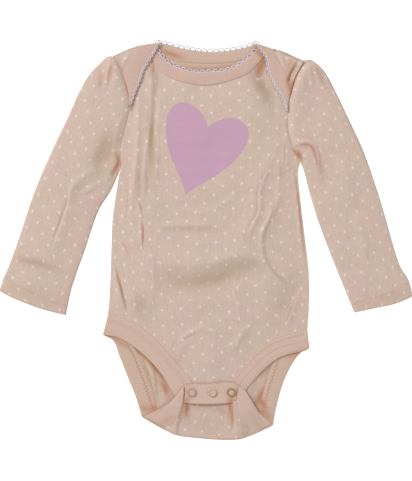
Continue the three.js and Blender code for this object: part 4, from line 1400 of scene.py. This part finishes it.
def picot_tree():
    tree, start, end = new_tree(
        "picot",
        ("Loops", "NodeSocketInt", 20),
        ("Loop Width", "NodeSocketFloat", 0.0052),
        ("Loop Height", "NodeSocketFloat", 0.003),
        ("Thread", "NodeSocketFloat", 0.00045),
        ("Material", "NodeSocketMaterial", None),
    )
    path = add_node(tree, "GeometryNodeMeshToCurve", Mesh=start.outputs["Geometry"])
    cut = add_node(tree, "GeometryNodeResampleCurve", Curve=path.outputs["Curve"],
                   Count=start.outputs["Loops"])
    arc = add_node(tree, "GeometryNodeCurveArc", Resolution=11, Radius=1.0, Start_Angle=math.radians(-12),
                   Sweep_Angle=math.radians(204))
    size = add_node(tree, "ShaderNodeCombineXYZ", X=start.outputs["Loop Width"],
                    Y=start.outputs["Loop Height"], Z=1.0)
    half = add_node(tree, "ShaderNodeVectorMath", {"operation": "MULTIPLY"}, i0=size.outputs[0],
                    i1=(0.5, 1.0, 1.0))
    shaped = add_node(tree, "GeometryNodeTransform", Geometry=arc.outputs["Curve"], Scale=half.outputs[0])
    profile = add_node(tree, "GeometryNodeCurvePrimitiveCircle", Resolution=6, Radius=start.outputs["Thread"])
    loop = add_node(tree, "GeometryNodeCurveToMesh", Curve=shaped.outputs["Geometry"],
                    Profile_Curve=profile.outputs["Curve"])
    placed = add_node(tree, "GeometryNodeInstanceOnPoints", Points=cut.outputs["Curve"],
                      Instance=loop.outputs["Mesh"], Rotation=facing_along(tree).outputs["Rotation"])
    chain = add_node(tree, "GeometryNodeCurveToMesh", Curve=path.outputs["Curve"],
                     Profile_Curve=profile.outputs["Curve"])
    return finish_tree(tree, start, end, [placed.outputs["Instances"], chain.outputs["Mesh"]])


def stitch_tree():
    tree, start, end = new_tree(
        "stitches",
        ("Pitch", "NodeSocketFloat", 0.0024),
        ("Stitch", "NodeSocketFloat", 0.0017),
        ("Thread", "NodeSocketFloat", 0.00022),
        ("Lean", "NodeSocketFloat", 0.0),
        ("Material", "NodeSocketMaterial", None),
    )
    path = add_node(tree, "GeometryNodeMeshToCurve", Mesh=start.outputs["Geometry"])
    cut = add_node(tree, "GeometryNodeResampleCurve", {"mode": "LENGTH"}, Curve=path.outputs["Curve"],
                   Length=start.outputs["Pitch"])
    ball = add_node(tree, "GeometryNodeMeshUVSphere", Segments=6, Rings=4, Radius=1.0)
    half = add_node(tree, "ShaderNodeMath", {"operation": "MULTIPLY"}, i0=start.outputs["Stitch"], i1=0.5)
    size = add_node(tree, "ShaderNodeCombineXYZ", X=half.outputs[0], Y=start.outputs["Thread"],
                    Z=start.outputs["Thread"])
    thread = add_node(tree, "GeometryNodeTransform", Geometry=ball.outputs["Mesh"], Scale=size.outputs[0])
    index = add_node(tree, "GeometryNodeInputIndex")
    odd = add_node(tree, "ShaderNodeMath", {"operation": "PINGPONG"}, i0=index.outputs[0], i1=1.0)
    signed = add_node(tree, "ShaderNodeMath", {"operation": "MULTIPLY_ADD"}, i0=odd.outputs[0], i1=2.0,
                      i2=-1.0)
    angle = add_node(tree, "ShaderNodeMath", {"operation": "MULTIPLY"}, i0=signed.outputs[0],
                     i1=start.outputs["Lean"])
    lean = add_node(tree, "FunctionNodeAxisAngleToRotation", Axis=(0.0, 0.0, 1.0), Angle=angle.outputs[0])
    turned = add_node(tree, "FunctionNodeRotateRotation", {"rotation_space": "LOCAL"},
                      Rotation=facing_along(tree).outputs["Rotation"], Rotate_By=lean.outputs["Rotation"])
    placed = add_node(tree, "GeometryNodeInstanceOnPoints", Points=cut.outputs["Curve"],
                      Instance=thread.outputs["Geometry"], Rotation=turned.outputs["Rotation"])
    return finish_tree(tree, start, end, [placed.outputs["Instances"]])


def run_tree(name, tree, lines, **values):
    """Runs a tree on lines of 3-D points in mm, and returns the plain mesh piece."""
    mesh = bpy.data.meshes.new(name)
    points = [tuple(p) for line in lines for p in np.asarray(line) / 1000]
    edges, start = [], 0
    for line in lines:
        edges += [(start + i, start + i + 1) for i in range(len(line) - 1)]
        start += len(line)
    mesh.from_pydata(points, edges, [])
    piece = bpy.data.objects.new(name, mesh)
    bpy.context.scene.collection.objects.link(piece)
    modifier = piece.modifiers.new("tree", "NODES")
    modifier.node_group = tree
    ids = {item.name: item.identifier for item in tree.interface.items_tree if item.in_out == "INPUT"}
    for label, value in values.items():
        modifier[ids[label.replace("_", " ")]] = value
    return finished(piece)


# %% Picots
picot = picot_tree()


def edge_line(free, height, gap, trim=(0, 0), steps=120):
    plan = shifted(along(free, steps), gap)[trim[0]:steps + 1 - trim[1]]
    return lift(plan[None], height)[0]


def front_picot_height(plan):
    return front_rib_height(plan) + 0.3


def lap_picot_height(plan):
    return lap_rib_height(plan) + 0.3


front_line = edge_line(FRONT_NECK_EDGE, front_picot_height, 0.1, (6, 6))
back_line = edge_line(BACK_NECK_EDGE, 0.9, 0.0, (1, 1))
left_line = edge_line(LAP_EDGE_LEFT, lap_picot_height, 0.2, (0, 2))
right_line = edge_line(LAP_EDGE_RIGHT, lap_picot_height, -0.2, (0, 2))[::-1]
# Columns: solid, piece, line, number of loops, and their width, height and thread radius in metres.
picots = {}
for node, name, line, loops, width, height, thread in (
    ("picot_neck_front", "picot_front_loops", front_line, 18, 0.0050, 0.0023, 0.0006),
    ("picot_neck_back", "picot_back_loops", back_line, 18, 0.0056, 0.0032, 0.0005),
    ("picot_lap_left", "picot_lap_left_loops", left_line, 15, 0.0042, 0.0017, 0.0006),
    ("picot_lap_right", "picot_lap_right_loops", right_line, 16, 0.0042, 0.0017, 0.0006),
):
    picots[node] = run_tree(name, picot, [line], Loops=loops, Loop_Width=width, Loop_Height=height,
                            Thread=thread, Material=thread_white)

# %% Stitches
THREAD_CLEAR = 0.05
HEM_CLEAR = 0.02
HEM_ROW = 8
HEM_TRIM = 3
stitches = stitch_tree()


def on_ribbon(grid, rows, share):
    """A line of points along a ribbon's upper face, at a share of its width from the seam."""
    column = int(round(np.interp(share, SPREAD, np.arange(ACROSS + 1))))
    line = grid[rows, column].copy()
    line[:, 2] += RIB_WALL / 2 + THREAD_CLEAR
    return line


# Rows of a leg binding's front part and back part, clear of the folds between them.
front_leg_rows = slice(2, LEG_STEPS - 2)
back_leg_rows = slice(LEG_STEPS + 16, LEG_STEPS + 72)
leg_stitches = {}
for side, grid in leg_grids.items():
    rows_across = {"left": (0.22, 0.4), "right": (0.45,)}[side]
    piece = run_tree(f"leg_stitches_{side}", stitches, [
        on_ribbon(grid, front_leg_rows, share) for share in rows_across],
        Pitch=0.0021, Stitch=0.0015, Thread=0.00022, Material=thread_peach)
    zigzag = run_tree(f"leg_zigzag_{side}", stitches, [on_ribbon(grid, back_leg_rows, 0.3)],
                      Pitch=0.0018, Stitch=0.0036, Thread=0.0003, Lean=1.05, Material=thread_peach)
    leg_stitches[side] = [piece, zigzag]
leg_stitches["right"].append(run_tree("leg_comb_right", stitches, [
    on_ribbon(leg_grids["right"], front_leg_rows, 0.17)],
    Pitch=0.0026, Stitch=0.0034, Thread=0.00026, Lean=1.4, Material=thread_peach))


def hem_line(table):
    """The cuff's stitched line on the plan: the sleeve's row at HEM_ROW, short of both its edges."""
    rows = patch(along(table["outer"], SLEEVE_ROWS), along(table["inner"], SLEEVE_ROWS), ARM_STEPS,
                 first=along(table["cuff"], ARM_STEPS), reach=CUFF_REACH)
    return rows[HEM_ROW, HEM_TRIM:-HEM_TRIM]


cuff_stitches = {}
for side, table in (("left", SLEEVE_LEFT), ("right", SLEEVE_RIGHT)):
    plan = hem_line(table)
    u = np.linspace(0, 1, ARM_STEPS + 1)[HEM_TRIM:-HEM_TRIM]
    z = SLEEVE_TOP_Z + sleeve_swell(u) + crease_rise(plan) + unevenness(plan) * SLEEVE_UNEVEN
    cuff_stitches[side] = run_tree(f"cuff_stitches_{side}", stitches, [
        np.concatenate([plan, (z + WALL / 2 + HEM_CLEAR)[:, None]], 1)],
        Pitch=0.0024, Stitch=0.0018, Thread=0.0002, Material=thread_peach)

# %% [markdown]
# ## Snaps
#
# Three ring snaps close the tab. Each is a cap turned about its axis: a raised ring of enamelled metal
# round a sunk middle, where the binding's own cloth is pressed up through the ring.


# %% Snaps
# Radius and height of each turned edge, in mm.
RING = [(2.5, 0.55), (2.75, 0.85), (3.1, 1.12), (3.6, 1.2), (4.1, 1.05), (4.38, 0.65), (4.4, 0.25),
        (4.1, 0.0), (0, 0.0)]
MIDDLE = [(0, 0.95), (1.2, 0.9), (2.0, 0.75), (2.5, 0.55)]
TURNS = 40


def snap_piece(side):
    low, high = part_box(f"snap_{side}")
    x, y, z = (low[0] + high[0]) / 2, (low[1] + high[1]) / 2, low[2]
    work = bmesh.new()
    rings = []
    for r, up in MIDDLE + RING[1:]:
        angles = np.linspace(0, 2 * math.pi, TURNS if r > 0 else 1, endpoint=False)
        rings.append([work.verts.new((x + r / 1000 * math.cos(a), y + r / 1000 * math.sin(a), z + up / 1000))
                      for a in angles])
    for number, (a, b) in enumerate(zip(rings, rings[1:])):
        for k in range(TURNS):
            corners = [a[k % len(a)], b[k % len(b)], b[(k + 1) % len(b)], a[(k + 1) % len(a)]]
            face = work.faces.new(list(dict.fromkeys(corners)))
            face.material_index = 1 if number < len(MIDDLE) - 1 else 0
    bmesh.ops.recalc_face_normals(work, faces=work.faces)
    mesh = bpy.data.meshes.new(f"snap_cap_{side}")
    work.to_mesh(mesh)
    work.free()
    mesh.materials.append(enamel[side])
    mesh.materials.append(snap_middle)
    mesh.shade_smooth()
    cap = bpy.data.objects.new(f"snap_cap_{side}", mesh)
    bpy.context.scene.collection.objects.link(cap)
    return cap


snaps = {side: snap_piece(side) for side in enamel}

# %% [markdown]
# ## What each piece is
#
# Every piece rides on the one body, and the solid that each but the stitches stands for is hidden.
# Each sheet of cloth states the size it was cut to: what shows of it, all round on a sleeve.

# %% Pieces and their solids
dressed_nodes = [
    (front_cloth, "front_panel", "jersey"),
    (back_cloth, "back_panel", "jersey"),
    (sleeves["left"], "sleeve_left", "jersey"),
    (sleeves["right"], "sleeve_right", "jersey"),
    (neck_front, "neck_binding_front", "rib"),
    (neck_back, "neck_binding_back", "rib"),
    (leg_bindings["left"], "leg_binding_left", "rib"),
    (leg_bindings["right"], "leg_binding_right", "rib"),
    (placket, "placket", "rib"),
    *[(piece, node, "trim") for node, piece in picots.items()],
    *[(piece, f"snap_{side}", "snap") for side, piece in snaps.items()],
]
for piece, node, slot in dressed_nodes:
    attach(piece, "root")
    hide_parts(node)
for piece in [*leg_stitches["left"], *leg_stitches["right"], *cuff_stitches.values()]:
    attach(piece, "root")

# %% Floor and sizes
FLOOR_SIZE = 16
FLOOR_GREY = (0.5, 0.5, 0.5, 1)
FLOOR_GLOW = 0.75
bpy.ops.mesh.primitive_plane_add(size=FLOOR_SIZE)
floor = bpy.context.object
floor.name = "floor"
floor_finish = Finish("floor_white", 0.9)
floor_finish.surface.inputs["Base Color"].default_value = FLOOR_GREY
floor_finish.surface.inputs["Emission Color"].default_value = (1, 1, 1, 1)
floor_finish.surface.inputs["Emission Strength"].default_value = FLOOR_GLOW
floor.data.materials.append(floor_finish.material)
